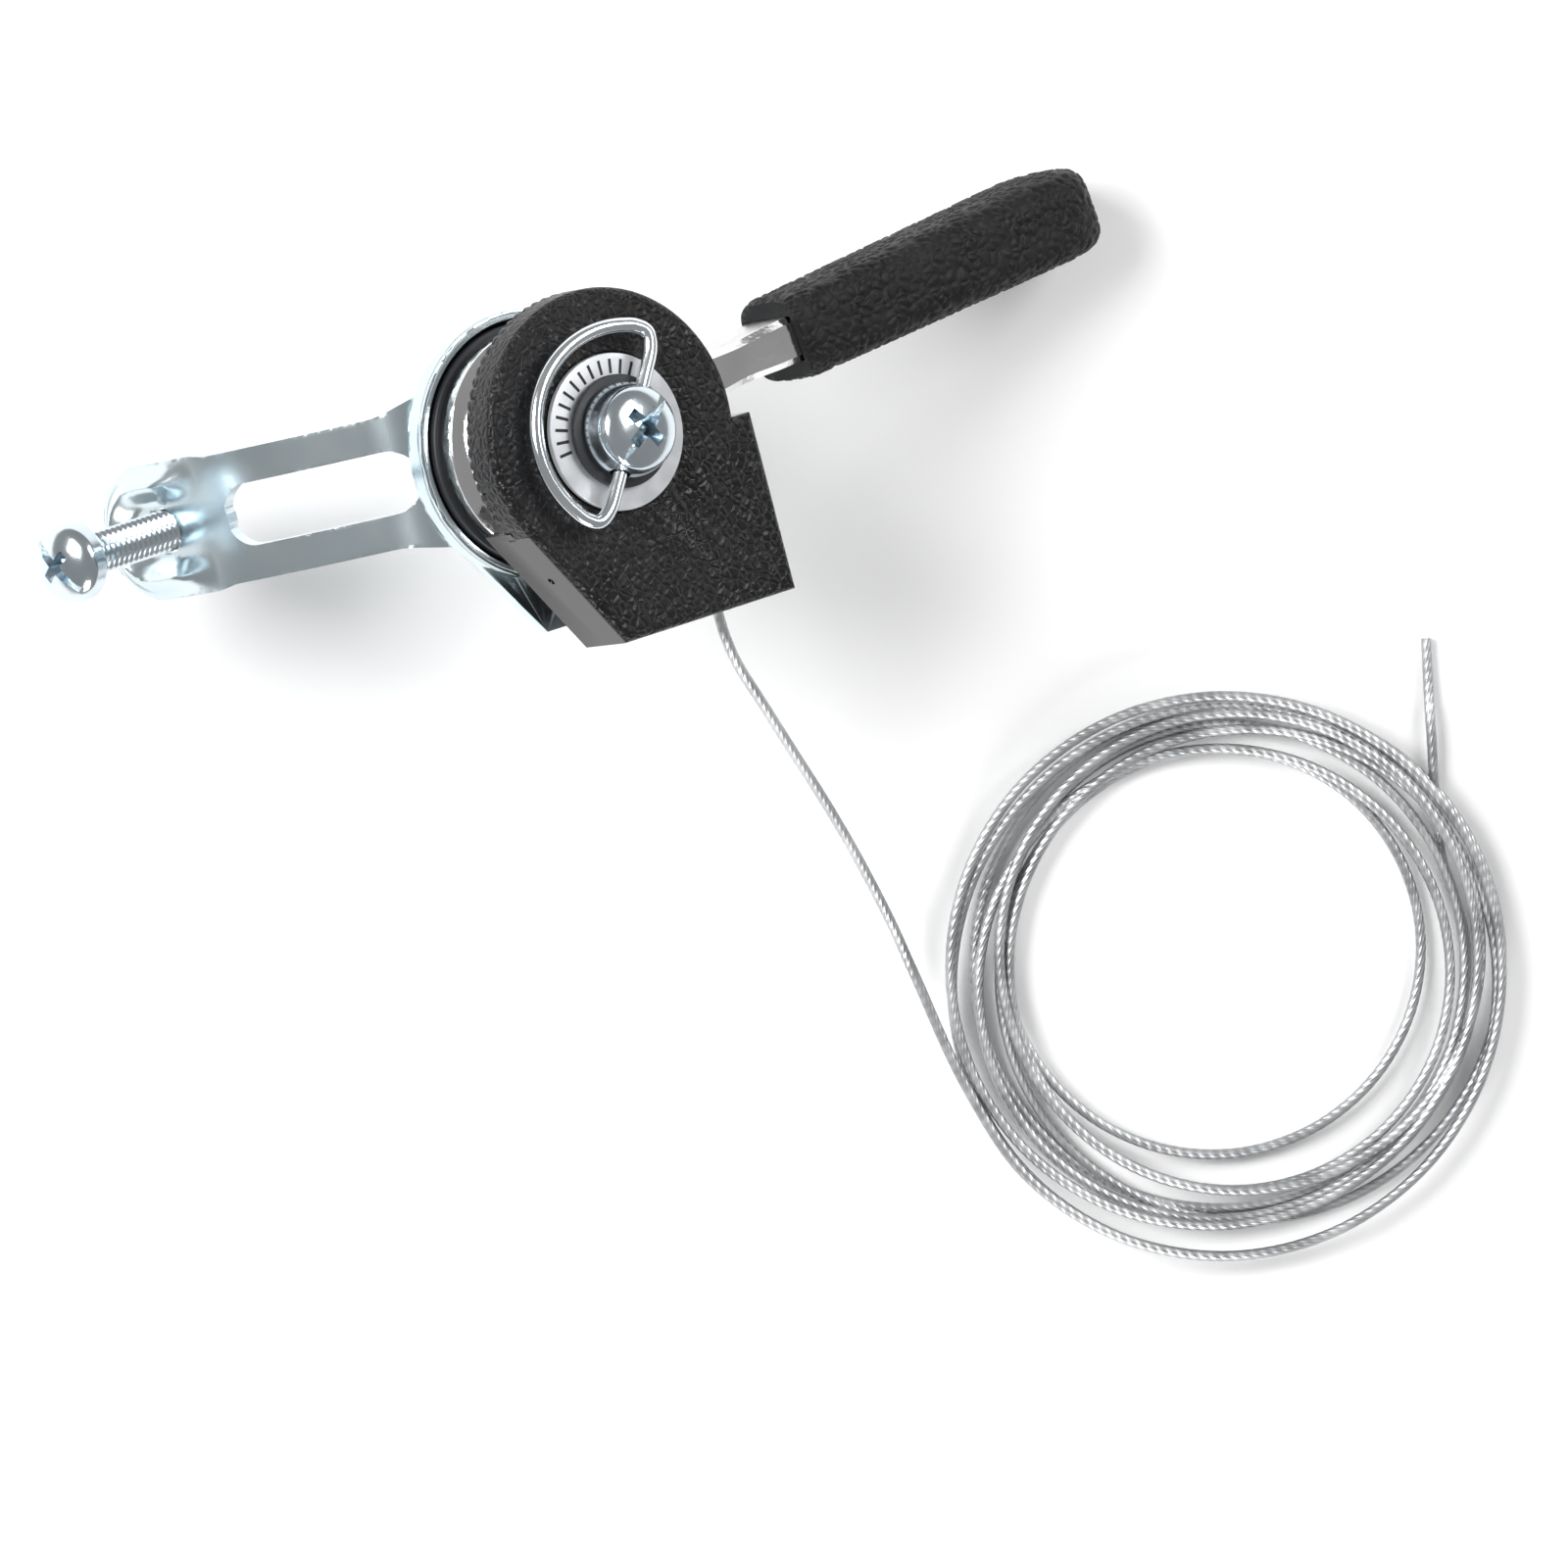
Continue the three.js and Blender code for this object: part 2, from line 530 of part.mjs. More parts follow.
function cover() {
  const bevel = 0.9;
  const face = new THREE.ExtrudeGeometry(coverOutline(bevel), {
    depth: COVER_TOP - COVER_SKIRT - bevel,
    bevelThickness: bevel,
    bevelSize: bevel,
    bevelSegments: 2,
    curveSegments: 28,
  }).translate(0, 0, COVER_SKIRT);
  const trimmed = solid(face).subtract(solid(block([-40, -40, 20], [40, 40, COVER_SKIRT])));
  const deep = solid(plate(blockOutline(0), BLOCK_BOTTOM, COVER_SKIRT + 0.5));
  const hollow = solid(plate(coverOutline(COVER_WALL), COVER_SKIRT - 1, COVER_TOP - COVER_ROOF, 28));
  const well = solid(plate(blockOutline(COVER_WALL), BLOCK_BOTTOM - 1, COVER_TOP - COVER_ROOF));
  const drumRoom = solid(disc(COVER_R - COVER_WALL, BLOCK_BOTTOM - 1, COVER_SKIRT + 0.6));
  const boss = solid(disc(COVER_BOSS_R, COVER_BOSS_Z, COVER_TOP - 2));
  const bore = solid(disc(COVER_BORE_R, 20, 40, 24));
  const dialSeat = solid(disc(DIAL_R + GAP, DIAL_Z - GAP, 40));
  const cableSlot = solid(block(
    [CABLE_WAY[0], BLOCK_Y - 1, 20], [CABLE_WAY[1], BLOCK_Y + 3, CABLE_WAY_TOP]));
  return shell(trimmed.add(deep).subtract(hollow).subtract(well).subtract(drumRoom)
    .add(boss).subtract(bore).subtract(dialSeat).subtract(cableSlot));
}

// ---------------------------------------------------------------- tension screw and bail
const pivotLine = new THREE.Vector3(Math.cos(BAIL_ANGLE), Math.sin(BAIL_ANGLE), 0);

function tensionScrew() {
  const body = solid(turned([
    [0, 19.4], [2.3, 19.4], [2.3, HEAD_Z], [HEAD_R - 0.5, HEAD_Z], [HEAD_R, HEAD_Z + 1.6],
    [HEAD_R * 0.97, HEAD_Z + 2.4], [HEAD_R * 0.8, HEAD_Z + 3.4], [HEAD_R * 0.45, HEAD_Z + 4.2],
    [0, HEAD_Z + 4.5],
  ], 32));
  const notches = [-1, 1].map((side) => solid(block(
    [Math.min(side * (BAIL_END - GAP), side * 8), -BAIL_WIRE_R - GAP, BAIL_Z - BAIL_WIRE_R - GAP],
    [Math.max(side * (BAIL_END - GAP), side * 8), BAIL_WIRE_R + GAP, BAIL_Z + BAIL_WIRE_R + GAP],
  ).rotateZ(BAIL_ANGLE)));
  return shell(body.subtract(notches[0]).subtract(notches[1]).subtract(driveCut(HEAD_Z + 4.5, HEAD_R)));
}

// The bow in its own flat frame: pivot line along X, the bow bulging to +Y, and the ends turned in.
function bailLine() {
  const corner = 2.2;
  const rise = Math.sqrt(BAIL_R ** 2 - (BAIL_R - corner) ** 2) * 0.55;
  const at = (x, y) => new THREE.Vector3(x, y, 0);
  const bow = new THREE.EllipseCurve(0, 0, BAIL_R, BAIL_R, 0.22, Math.PI - 0.22, false);
  const points = bow.getPoints(20).map((point) => at(point.x, point.y));
  const joint = Math.max(points[0].y, rise * 0.6);
  const lead = [at(BAIL_END, 0), at(BAIL_END + 2.4, 0), at(BAIL_R - corner, 0.1), at(BAIL_R - 0.5, 0.9)];
  const tail = lead.map((point) => at(-point.x, point.y)).reverse();
  const knots = [...lead, at(points[0].x, joint), ...points.slice(1, -1), at(-points[0].x, joint), ...tail];
  return new THREE.CatmullRomCurve3(knots, false, "centripetal");
}

function bailRing() {
  return bar(bailLine(), BAIL_WIRE_R, 44)
    .rotateX(-BAIL_DROOP)
    .rotateZ(BAIL_ANGLE)
    .translate(0, 0, BAIL_Z);
}

// ---------------------------------------------------------------- cable
// The stretch that the shifter holds: off the drum and out through the cable block's end wall.
const cableExit = new THREE.Vector3(13.2, BLOCK_Y - 0.4, 23.4);

function cableRun() {
  const path = new THREE.CatmullRomCurve3([
    new THREE.Vector3(CABLE_ORBIT, -0.9, GROOVE_Z),
    new THREE.Vector3(CABLE_ORBIT + 0.1, -6, GROOVE_Z + 0.4),
    new THREE.Vector3(CABLE_ORBIT + 0.5, -15, GROOVE_Z + 1.4),
    cableExit,
  ]);
  return bar(path, CABLE_R, 10);
}

// The free cable's route on the table frame, from the block down to the coil, and its loose far end.
const LEAD_ROUTE = [
  [9.06, -19.7, 37.2],
  [9.2, -22.6, 36.7],
  [9.9, -26.4, 34.9],
  [11.6, -31.6, 31.4],
  [13.6, -37.8, 26.6],
  [15.7, -44.2, 21.4],
  [17.6, -50.6, 16.2],
  [19.2, -56.8, 11.5],
  [20.5, -62.6, 7.9],
  [21.6, -68.8, 5],
];
const TAIL_ROUTE = [
  [86.4, -57, 1.5],
  [87.1, -53.6, 1.0],
  [87.8, -50.2, 0.7],
  [88.5, -46.8, 0.65],
];

function looseCable(route, steps) {
  const points = route.map(([x, y, z]) => new THREE.Vector3(x, y, z));
  return bar(new THREE.CatmullRomCurve3(points), CABLE_R, steps);
}

function cableCoil() {
  return ring(COIL_OUTER, COIL_INNER, COIL_LOW, COIL_TOP, 48).translate(COIL_CENTRE.x, COIL_CENTRE.y, 0);
}

// ---------------------------------------------------------------- assembly
const shifter = new THREE.Group();
const mechanism = new THREE.Group();
const lever = new THREE.Group();
mechanism.rotation.y = LEAN;
mechanism.position.copy(BAR_AXIS);
lever.rotation.z = ARM_ANGLE;
mechanism.add(lever);
shifter.add(mechanism);

function place(parent, name, geometry, material) {
  const mesh = new THREE.Mesh(geometry, material);
  mesh.name = name;
  parent.add(mesh);
}

place(mechanism, "clamp_band", clampBand(), zinc);
place(mechanism, "clamp_screw", clampScrew(), zinc);
place(mechanism, "base_plate", basePlate(), zinc);
place(mechanism, "pivot_stud", pivotStud(), steel);
place(mechanism, "base_ring", baseRing(), plastic);

place(lever, "lever_drum", leverDrum(), chrome);
place(lever, "lever_grip", leverGrip(), rubber);
place(lever, "cable_nipple", cableNipple(), steel);

place(lever, "friction_disc_lower", ring(DISC_R, STUD_R + GAP, ...DISC_LOWER), fibre);
place(mechanism, "keyed_washer_lower", keyedWasher(WASHER_R, ...WASHER_LOWER), steel);
place(lever, "friction_disc_upper", ring(DISC_R, STUD_R + GAP, ...DISC_UPPER), fibre);
place(mechanism, "keyed_washer_upper", keyedWasher(WASHER_R, ...WASHER_UPPER), steel);
place(mechanism, "spring_washer", springWasher(), steel);

place(mechanism, "cover", cover(), plastic);
place(mechanism, "dial_plate", ring(DIAL_R, DIAL_HOLE_R, DIAL_Z, DIAL_Z + DIAL_T), aluminium);
place(mechanism, "seal_ring", ring(SEAL_R, SEAL_HOLE_R, SEAL_Z, SEAL_Z + SEAL_T), plastic);
place(mechanism, "tension_screw", tensionScrew(), zinc);
place(mechanism, "bail_ring", bailRing(), chrome);

place(mechanism, "cable_run", cableRun(), wire);
place(shifter, "cable_lead", looseCable(LEAD_ROUTE, 34), wire);
place(shifter, "cable_coil", cableCoil(), wire);
place(shifter, "cable_tail", looseCable(TAIL_ROUTE, 6), wire);

export default shifter;
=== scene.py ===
"""The looks of a friction thumb shifter that lies on a table with its inner cable coiled beside it.

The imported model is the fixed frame. Each sub-assembly is a class whose fields are its sizes in millimetres,
in the mechanism's own frame: the pivot axis is Z, the handlebar axis is Y, and both cross at the origin.
"""

import json
import logging
import math
from collections.abc import Callable, Iterable, Sequence
from dataclasses import dataclass, field
from enum import Enum

import bmesh
import bpy
from mathutils import Matrix, Vector, noise


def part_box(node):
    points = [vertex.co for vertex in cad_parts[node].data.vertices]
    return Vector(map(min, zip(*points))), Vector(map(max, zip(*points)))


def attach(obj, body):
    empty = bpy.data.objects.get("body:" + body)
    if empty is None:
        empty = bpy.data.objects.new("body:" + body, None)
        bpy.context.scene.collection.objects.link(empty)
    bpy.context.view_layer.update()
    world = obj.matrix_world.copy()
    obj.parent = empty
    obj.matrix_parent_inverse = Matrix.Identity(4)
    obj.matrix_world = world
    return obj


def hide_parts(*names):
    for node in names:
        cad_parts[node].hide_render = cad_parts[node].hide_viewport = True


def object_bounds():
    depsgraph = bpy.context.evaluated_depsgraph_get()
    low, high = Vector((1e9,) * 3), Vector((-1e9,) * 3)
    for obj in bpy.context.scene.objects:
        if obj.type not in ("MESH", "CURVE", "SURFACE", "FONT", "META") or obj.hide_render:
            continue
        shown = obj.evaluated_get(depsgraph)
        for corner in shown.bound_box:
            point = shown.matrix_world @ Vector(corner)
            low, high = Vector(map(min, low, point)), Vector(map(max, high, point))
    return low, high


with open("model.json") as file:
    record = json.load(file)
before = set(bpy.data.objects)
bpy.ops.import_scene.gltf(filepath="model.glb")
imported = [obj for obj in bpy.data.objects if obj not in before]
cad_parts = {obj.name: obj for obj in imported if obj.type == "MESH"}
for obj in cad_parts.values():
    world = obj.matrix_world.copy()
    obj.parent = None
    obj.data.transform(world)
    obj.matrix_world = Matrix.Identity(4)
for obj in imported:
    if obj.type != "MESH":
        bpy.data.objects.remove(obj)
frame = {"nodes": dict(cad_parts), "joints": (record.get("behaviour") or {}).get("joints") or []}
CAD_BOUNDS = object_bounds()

LOG = logging.getLogger("thumb_shifter")
MM = 0.001
Point = tuple[float, float, float]
Profile = Sequence[tuple[float, float]]


# ---------------------------------------------------------------- the mechanism's frame
@dataclass(frozen=True)
class Mechanism:
    """Where the shifter's own frame lies on the table, read from its joints."""

    to_row: Matrix
    arm_angle: float

    @classmethod
    def from_frame(cls, joints: Sequence[dict], pivot_height: float, arm_angle: float) -> "Mechanism":
        """Works the frame out from the lever's joint.

        Args:
            joints: The record's joints.
            pivot_height: How far the joint's point lies above the handlebar axis.
            arm_angle: The lever's direction at rest, in degrees from +X towards +Y.

        Returns:
            The mechanism's frame.
        """
        swing = next(joint for joint in joints if joint["name"] == "lever_swing")
        pivot = Vector(swing["axis"]).normalized()
        lean = math.atan2(pivot.x, pivot.z)
        origin = Vector(swing["pos_m"]) - pivot * (pivot_height * MM)
        turn = Matrix.Rotation(lean, 4, "Y")
        return cls(Matrix.Translation(origin) @ turn @ Matrix.Scale(MM, 4), math.radians(arm_angle))

    def point(self, x: float, y: float, z: float) -> Vector:
        """Gives a mechanism point, in millimetres, as a row point in metres."""
        return self.to_row @ Vector((x, y, z))

    @property
    def lever_to_row(self) -> Matrix:
        """The frame whose +X is the lever's direction at rest."""
        return self.to_row @ Matrix.Rotation(self.arm_angle, 4, "Z")


MECHANISM = Mechanism.from_frame(frame["joints"], pivot_height=22.0, arm_angle=6.5)


# ---------------------------------------------------------------- finishes
class Pattern(Enum):
    """The small relief that a surface shows."""

    CAST = "cast"
    ROLLED = "rolled"
    LEATHER = "leather"
    SMOOTH = "smooth"


@dataclass(frozen=True)
class Finish:
    """A procedural surface: a base colour that drifts to a second one, with roughness and relief to match."""

    name: str
    slot: str
    colour: Point
    drift: Point
    roughness: tuple[float, float]
    metallic: float = 0.0
    pattern: Pattern = Pattern.SMOOTH
    grain: float = 0.4
    relief: float = 0.02
    coat: float = 0.0
    specular: float = 0.5

    def material(self) -> bpy.types.Material:
        """Makes the finish's material, or finds it if it is already made.

        Returns:
            The material.
        """
        made = bpy.data.materials.get(self.name)
        if made:
            return made
        material = bpy.data.materials.new(self.name)
        material.use_nodes = True
        nodes = material.node_tree.nodes
        links = material.node_tree.links
        shader = nodes["Principled BSDF"]
        shader.inputs["Metallic"].default_value = self.metallic
        shader.inputs["Coat Weight"].default_value = self.coat
        shader.inputs["Coat Roughness"].default_value = 0.08
        shader.inputs["Specular IOR Level"].default_value = self.specular
        place = nodes.new("ShaderNodeTexCoord").outputs["Object"]
        drift_scale = 0.35 / (self.grain * MM) / 4
        cloud = self._noise(nodes, links, place, drift_scale, 4.0)
        self._drive_colour(nodes, links, shader, cloud)
        self._drive_roughness(nodes, links, shader, cloud)
        self._drive_relief(nodes, links, shader, place)
        return material

    @staticmethod
    def _noise(nodes: bpy.types.Nodes, links: bpy.types.NodeLinks, place: bpy.types.NodeSocket, scale: float,
               detail: float) -> bpy.types.NodeSocket:
        """Adds a noise texture and returns its value socket.

        Args:
            nodes: The material's nodes.
            links: The material's links.
            place: The texture coordinates.
            scale: The noise's scale.
            detail: The noise's detail.

        Returns:
            The texture's value.
        """
        texture = nodes.new("ShaderNodeTexNoise")
        texture.inputs["Scale"].default_value = scale
        texture.inputs["Detail"].default_value = detail
        links.new(place, texture.inputs["Vector"])
        return texture.outputs["Fac"]

    def _drive_colour(self, nodes: bpy.types.Nodes, links: bpy.types.NodeLinks, shader: bpy.types.Node,
                      cloud: bpy.types.NodeSocket) -> None:
        """Lets the base colour drift between the finish's two colours.

        Args:
            nodes: The material's nodes.
            links: The material's links.
            shader: The surface shader.
            cloud: The value that drives the drift.
        """
        ramp = nodes.new("ShaderNodeValToRGB")
        ramp.color_ramp.elements[0].position = 0.35
        ramp.color_ramp.elements[1].position = 0.68
        ramp.color_ramp.elements[0].color = (*self.colour, 1.0)
        ramp.color_ramp.elements[1].color = (*self.drift, 1.0)
        links.new(cloud, ramp.inputs["Fac"])
        links.new(ramp.outputs["Color"], shader.inputs["Base Color"])

    def _drive_roughness(self, nodes: bpy.types.Nodes, links: bpy.types.NodeLinks, shader: bpy.types.Node,
                         cloud: bpy.types.NodeSocket) -> None:
        """Lets the roughness run between the finish's two values.

        Args:
            nodes: The material's nodes.
            links: The material's links.
            shader: The surface shader.
            cloud: The value that drives the drift.
        """
        spread = nodes.new("ShaderNodeMapRange")
        spread.inputs["From Min"].default_value = 0.3
        spread.inputs["From Max"].default_value = 0.7
        spread.inputs["To Min"].default_value = self.roughness[0]
        spread.inputs["To Max"].default_value = self.roughness[1]
        links.new(cloud, spread.inputs["Value"])
        links.new(spread.outputs["Result"], shader.inputs["Roughness"])

    def _drive_relief(self, nodes: bpy.types.Nodes, links: bpy.types.NodeLinks, shader: bpy.types.Node,
                      place: bpy.types.NodeSocket) -> None:
        """Adds the pattern's relief as a bump.

        Args:
            nodes: The material's nodes.
            links: The material's links.
            shader: The surface shader.
            place: The texture coordinates.
        """
        height = self._pattern_height(nodes, links, place)
        bump = nodes.new("ShaderNodeBump")
        bump.inputs["Strength"].default_value = 0.9
        bump.inputs["Distance"].default_value = self.relief * MM
        links.new(height, bump.inputs["Height"])
        links.new(bump.outputs["Normal"], shader.inputs["Normal"])

    def _pattern_height(self, nodes: bpy.types.Nodes, links: bpy.types.NodeLinks,
                        place: bpy.types.NodeSocket) -> bpy.types.NodeSocket:
        """Builds the height field of the finish's pattern and returns its socket.

        Args:
            nodes: The material's nodes.
            links: The material's links.
            place: The texture coordinates.

        Returns:
            The height field's value.
        """
        scale = 1.0 / (self.grain * MM)
        if self.pattern is Pattern.LEATHER:
            warp = nodes.new("ShaderNodeTexNoise")
            warp.inputs["Scale"].default_value = scale * 0.55
            links.new(place, warp.inputs["Vector"])
            push = nodes.new("ShaderNodeVectorMath")
            push.operation = "MULTIPLY_ADD"
            push.inputs[1].default_value = (self.grain * MM * 0.9,) * 3
            links.new(warp.outputs["Color"], push.inputs[0])
            links.new(place, push.inputs[2])
            cells = nodes.new("ShaderNodeTexVoronoi")
            cells.feature = "DISTANCE_TO_EDGE"
            cells.inputs["Scale"].default_value = scale
            links.new(push.outputs["Vector"], cells.inputs["Vector"])
            rise = nodes.new("ShaderNodeMapRange")
            rise.interpolation_type = "SMOOTHSTEP"
            low, high = 0.0, 0.3
            rise.inputs["From Min"].default_value = low
            rise.inputs["From Max"].default_value = high
            links.new(cells.outputs["Distance"], rise.inputs["Value"])
            return rise.outputs["Result"]
        detail = 6.0 if self.pattern is Pattern.ROLLED else 2.5
        return self._noise(nodes, links, place, scale, detail)

    def dress(self, piece: bpy.types.Object) -> bpy.types.Object:
        """Gives a piece this finish as its only material.

        Args:
            piece: The piece.

        Returns:
            The piece.
        """
        piece.data.materials.clear()
        piece.data.materials.append(self.material())
        return piece


ZINC = Finish("blue_zinc", "zinc_plate", (0.66, 0.77, 0.82), (0.72, 0.80, 0.83), (0.20, 0.25), 1.0,
              Pattern.ROLLED, 0.9, 0.005)
SCREW_ZINC = Finish("bright_zinc", "screw_zinc", (0.64, 0.73, 0.79), (0.74, 0.80, 0.83), (0.13, 0.20), 1.0,
                    Pattern.ROLLED, 0.7, 0.012)
CHROME = Finish("cast_chrome", "chrome_casting", (0.80, 0.80, 0.81), (0.90, 0.90, 0.90), (0.06, 0.16), 1.0,
                Pattern.CAST, 1.1, 0.05)
SATIN_CHROME = Finish("satin_chrome", "chrome_casting", (0.66, 0.66, 0.67), (0.82, 0.82, 0.82), (0.26, 0.42),
                      1.0, Pattern.ROLLED, 0.25, 0.05)
BAIL_WIRE = Finish("bail_nickel", "bail_wire", (0.78, 0.83, 0.87), (0.88, 0.91, 0.93), (0.10, 0.20), 1.0,
                   Pattern.ROLLED, 0.6, 0.006)
INNER_STEEL = Finish("ground_steel", "inner_steel", (0.55, 0.56, 0.57), (0.68, 0.68, 0.69), (0.28, 0.44), 1.0,
                     Pattern.ROLLED, 0.3, 0.01)
RUBBER = Finish("leather_rubber", "grip_rubber", (0.006, 0.006, 0.006), (0.012, 0.012, 0.013), (0.42, 0.58),
                0.0, Pattern.ROLLED, 0.3, 0.02, specular=0.26)
PEBBLE = Finish("pebbled_plastic", "cover_plastic", (0.005, 0.005, 0.006), (0.009, 0.009, 0.010),
                (0.28, 0.42), 0.0, Pattern.LEATHER, 0.95, 0.11, specular=0.32)
GLOSS = Finish("glossy_plastic", "cover_plastic", (0.006, 0.006, 0.007), (0.010, 0.010, 0.011), (0.14, 0.22),
               0.0, Pattern.SMOOTH, 2.0, 0.01, coat=0.3)
NYLON = Finish("dull_nylon", "black_nylon", (0.014, 0.015, 0.018), (0.028, 0.030, 0.034), (0.40, 0.55), 0.0,
               Pattern.SMOOTH, 0.6, 0.01)
DIAL_METAL = Finish("satin_dial", "dial_aluminium", (0.66, 0.68, 0.71), (0.76, 0.77, 0.79), (0.30, 0.40),
                    0.45, Pattern.ROLLED, 0.2, 0.004)
INK = Finish("black_ink", "black_nylon", (0.008, 0.008, 0.010), (0.014, 0.014, 0.016), (0.45, 0.60), 0.0,
             Pattern.SMOOTH, 0.3, 0.004)
FIBRE = Finish("brown_fibre", "fibre", (0.22, 0.10, 0.06), (0.34, 0.18, 0.11), (0.7, 0.85), 0.0,
               Pattern.ROLLED, 0.3, 0.03)
CABLE_STEEL = Finish("stranded_steel", "cable_wire", (0.50, 0.51, 0.52), (0.66, 0.67, 0.68), (0.36, 0.48),
                     1.0, Pattern.ROLLED, 0.4, 0.004)


# ---------------------------------------------------------------- mesh work
class Shape:
    """Plain mesh builders. They work in millimetres in whatever frame the caller places the result."""

    @staticmethod
    def from_bmesh(mesh: bmesh.types.BMesh, name: str) -> bpy.types.Object:
        """Turns a bmesh into a linked object with outward faces.

        Args:
            mesh: The mesh to take; it is freed.
            name: The piece's name.

        Returns:
            The piece.
        """
        bmesh.ops.remove_doubles(mesh, verts=mesh.verts, dist=1e-4)
        bmesh.ops.recalc_face_normals(mesh, faces=mesh.faces)
        if mesh.calc_volume(signed=True) < 0:
            bmesh.ops.reverse_faces(mesh, faces=mesh.faces)
        data = bpy.data.meshes.new(name)
        mesh.to_mesh(data)
        mesh.free()
        piece = bpy.data.objects.new(name, data)
        bpy.context.scene.collection.objects.link(piece)
        return piece

    @staticmethod
    def rings(loops: Sequence[Sequence[Point]], name: str, closed: bool = False) -> bpy.types.Object:
        """Skins a row of equal closed loops.

        Args:
            loops: The loops, each with the same number of points.
            name: The piece's name.
            closed: True if the last loop joins the first; otherwise both ends are capped.

        Returns:
            The piece.
        """
        mesh = bmesh.new()
        made = [[mesh.verts.new(point) for point in loop] for loop in loops]
        count = len(made[0])
        pairs = list(zip(made, made[1:]))
        if closed:
            pairs.append((made[-1], made[0]))
        for low, high in pairs:
            for i in range(count):
                j = (i + 1) % count
                mesh.faces.new((low[i], low[j], high[j], high[i]))
        if not closed:
            mesh.faces.new(list(reversed(made[0])))
            mesh.faces.new(made[-1])
        return Shape.from_bmesh(mesh, name)

    @staticmethod
    def lathe(profile: Profile, name: str, sides: int = 96, closed: bool = False) -> bpy.types.Object:
        """Turns a profile of (radius, height) points about Z.

        Args:
            profile: The points from the lower end to the upper; a closed one runs round a ring's section.
            name: The piece's name.
            sides: How many sides the turn has.
            closed: True for a ring's section.

        Returns:
            The piece.
        """
        angles = [2 * math.pi * i / sides for i in range(sides)]
        tiny = 0.01
        loops = [
            [(max(radius, tiny) * math.cos(a), max(radius, tiny) * math.sin(a), height) for a in angles]
            for radius, height in profile
        ]
        return Shape.rings(loops, name, closed)

    @staticmethod
    def block(low: Point, high: Point, name: str = "block") -> bpy.types.Object:
        """Makes a box from its lowest corner to its highest.

        Args:
            low: The lowest corner.
            high: The highest corner.
            name: The piece's name.

        Returns:
            The box.
        """
        mesh = bmesh.new()
        bmesh.ops.create_cube(mesh, size=1.0)
        for vertex in mesh.verts:
            vertex.co = Vector([a + (b - a) * (c + 0.5) for a, b, c in zip(low, high, vertex.co)])
        return Shape.from_bmesh(mesh, name)

    @staticmethod
    def plate(outline: Sequence[tuple[float, float]], low: float, high: float, name: str) -> bpy.types.Object:
        """Makes a plate of an outline between two heights."""
        return Shape.rings([[(x, y, z) for x, y in outline] for z in (low, high)], name)

    @staticmethod
    def sweep(path: Sequence[Vector], section: Callable[[int], Sequence[tuple[float, float]]],
              name: str) -> bpy.types.Object:
        """Carries a section along a path without letting it twist.

        Args:
            path: The points that the section follows.
            section: Gives the section's points at a step of the path.
            name: The piece's name.

        Returns:
            The piece.
        """
        loops = []
        for step, (point, right, up) in enumerate(Shape.travel(path)):
            loops.append([tuple(point + right * x + up * y) for x, y in section(step)])
        return Shape.rings(loops, name)

    @staticmethod
    def travel(path: Sequence[Vector]) -> list[tuple[Vector, Vector, Vector]]:
        """Gives each path point with two cross directions that turn as little as they can.

        Args:
            path: The points.

        Returns:
            Each point with its two cross directions.
        """
        tangents = []
        for i in range(len(path)):
            ahead = path[min(i + 1, len(path) - 1)]
            behind = path[max(i - 1, 0)]
            tangents.append((ahead - behind).normalized())
        start = Vector((0, 0, 1)) if abs(tangents[0].z) < 0.9 else Vector((1, 0, 0))
        right = tangents[0].cross(start).normalized()
        placed = []
        for point, tangent in zip(path, tangents):
            right = (right - tangent * right.dot(tangent)).normalized()
            placed.append((point, right, tangent.cross(right)))
        return placed

    @staticmethod
    def combine(piece: bpy.types.Object, tools: Iterable[bpy.types.Object],
                operation: str) -> bpy.types.Object:
        """Joins tools to a piece or cuts them from it, and removes them.

        Args:
            piece: The piece to change.
            tools: The solids to join or cut.
            operation: UNION or DIFFERENCE.

        Returns:
            The piece.
        """
        for tool in tools:
            cut = piece.modifiers.new("cut", "BOOLEAN")
            cut.operation = operation
            cut.solver = "MANIFOLD"
            cut.object = tool
            Shape.apply(piece)
            data = tool.data
            bpy.data.objects.remove(tool)
            bpy.data.meshes.remove(data)
        piece.data.materials.clear()
        return piece

    @staticmethod
    def apply(piece: bpy.types.Object) -> bpy.types.Object:
        """Bakes a piece's modifiers into its mesh.

        Args:
            piece: The piece.

        Returns:
            The piece, with no modifiers left.
        """
        graph = bpy.context.evaluated_depsgraph_get()
        made = bpy.data.meshes.new_from_object(piece.evaluated_get(graph))
        old = piece.data
        piece.modifiers.clear()
        piece.data = made
        bpy.data.meshes.remove(old)
        return piece

    @staticmethod
    def soften(piece: bpy.types.Object, width: float, angle: float = 35.0,
               segments: int = 2) -> bpy.types.Object:
        """Rounds a piece's sharp edges and shades it smooth.

        Args:
            piece: The piece.
            width: The rounding's width in the mesh's units.
            angle: Edges sharper than this, in degrees, are rounded.
            segments: Steps across the rounding.

        Returns:
            The piece.
        """
        bevel = piece.modifiers.new("soften", "BEVEL")
        bevel.width = width
        bevel.segments = segments
        bevel.limit_method = "ANGLE"
        bevel.angle_limit = math.radians(angle)
        bevel.use_clamp_overlap = True
        Shape.apply(piece)
        Shape.smooth(piece)
        weigh = piece.modifiers.new("weigh", "WEIGHTED_NORMAL")
        weigh.keep_sharp = True
        weigh.weight = 90
        return Shape.apply(piece)

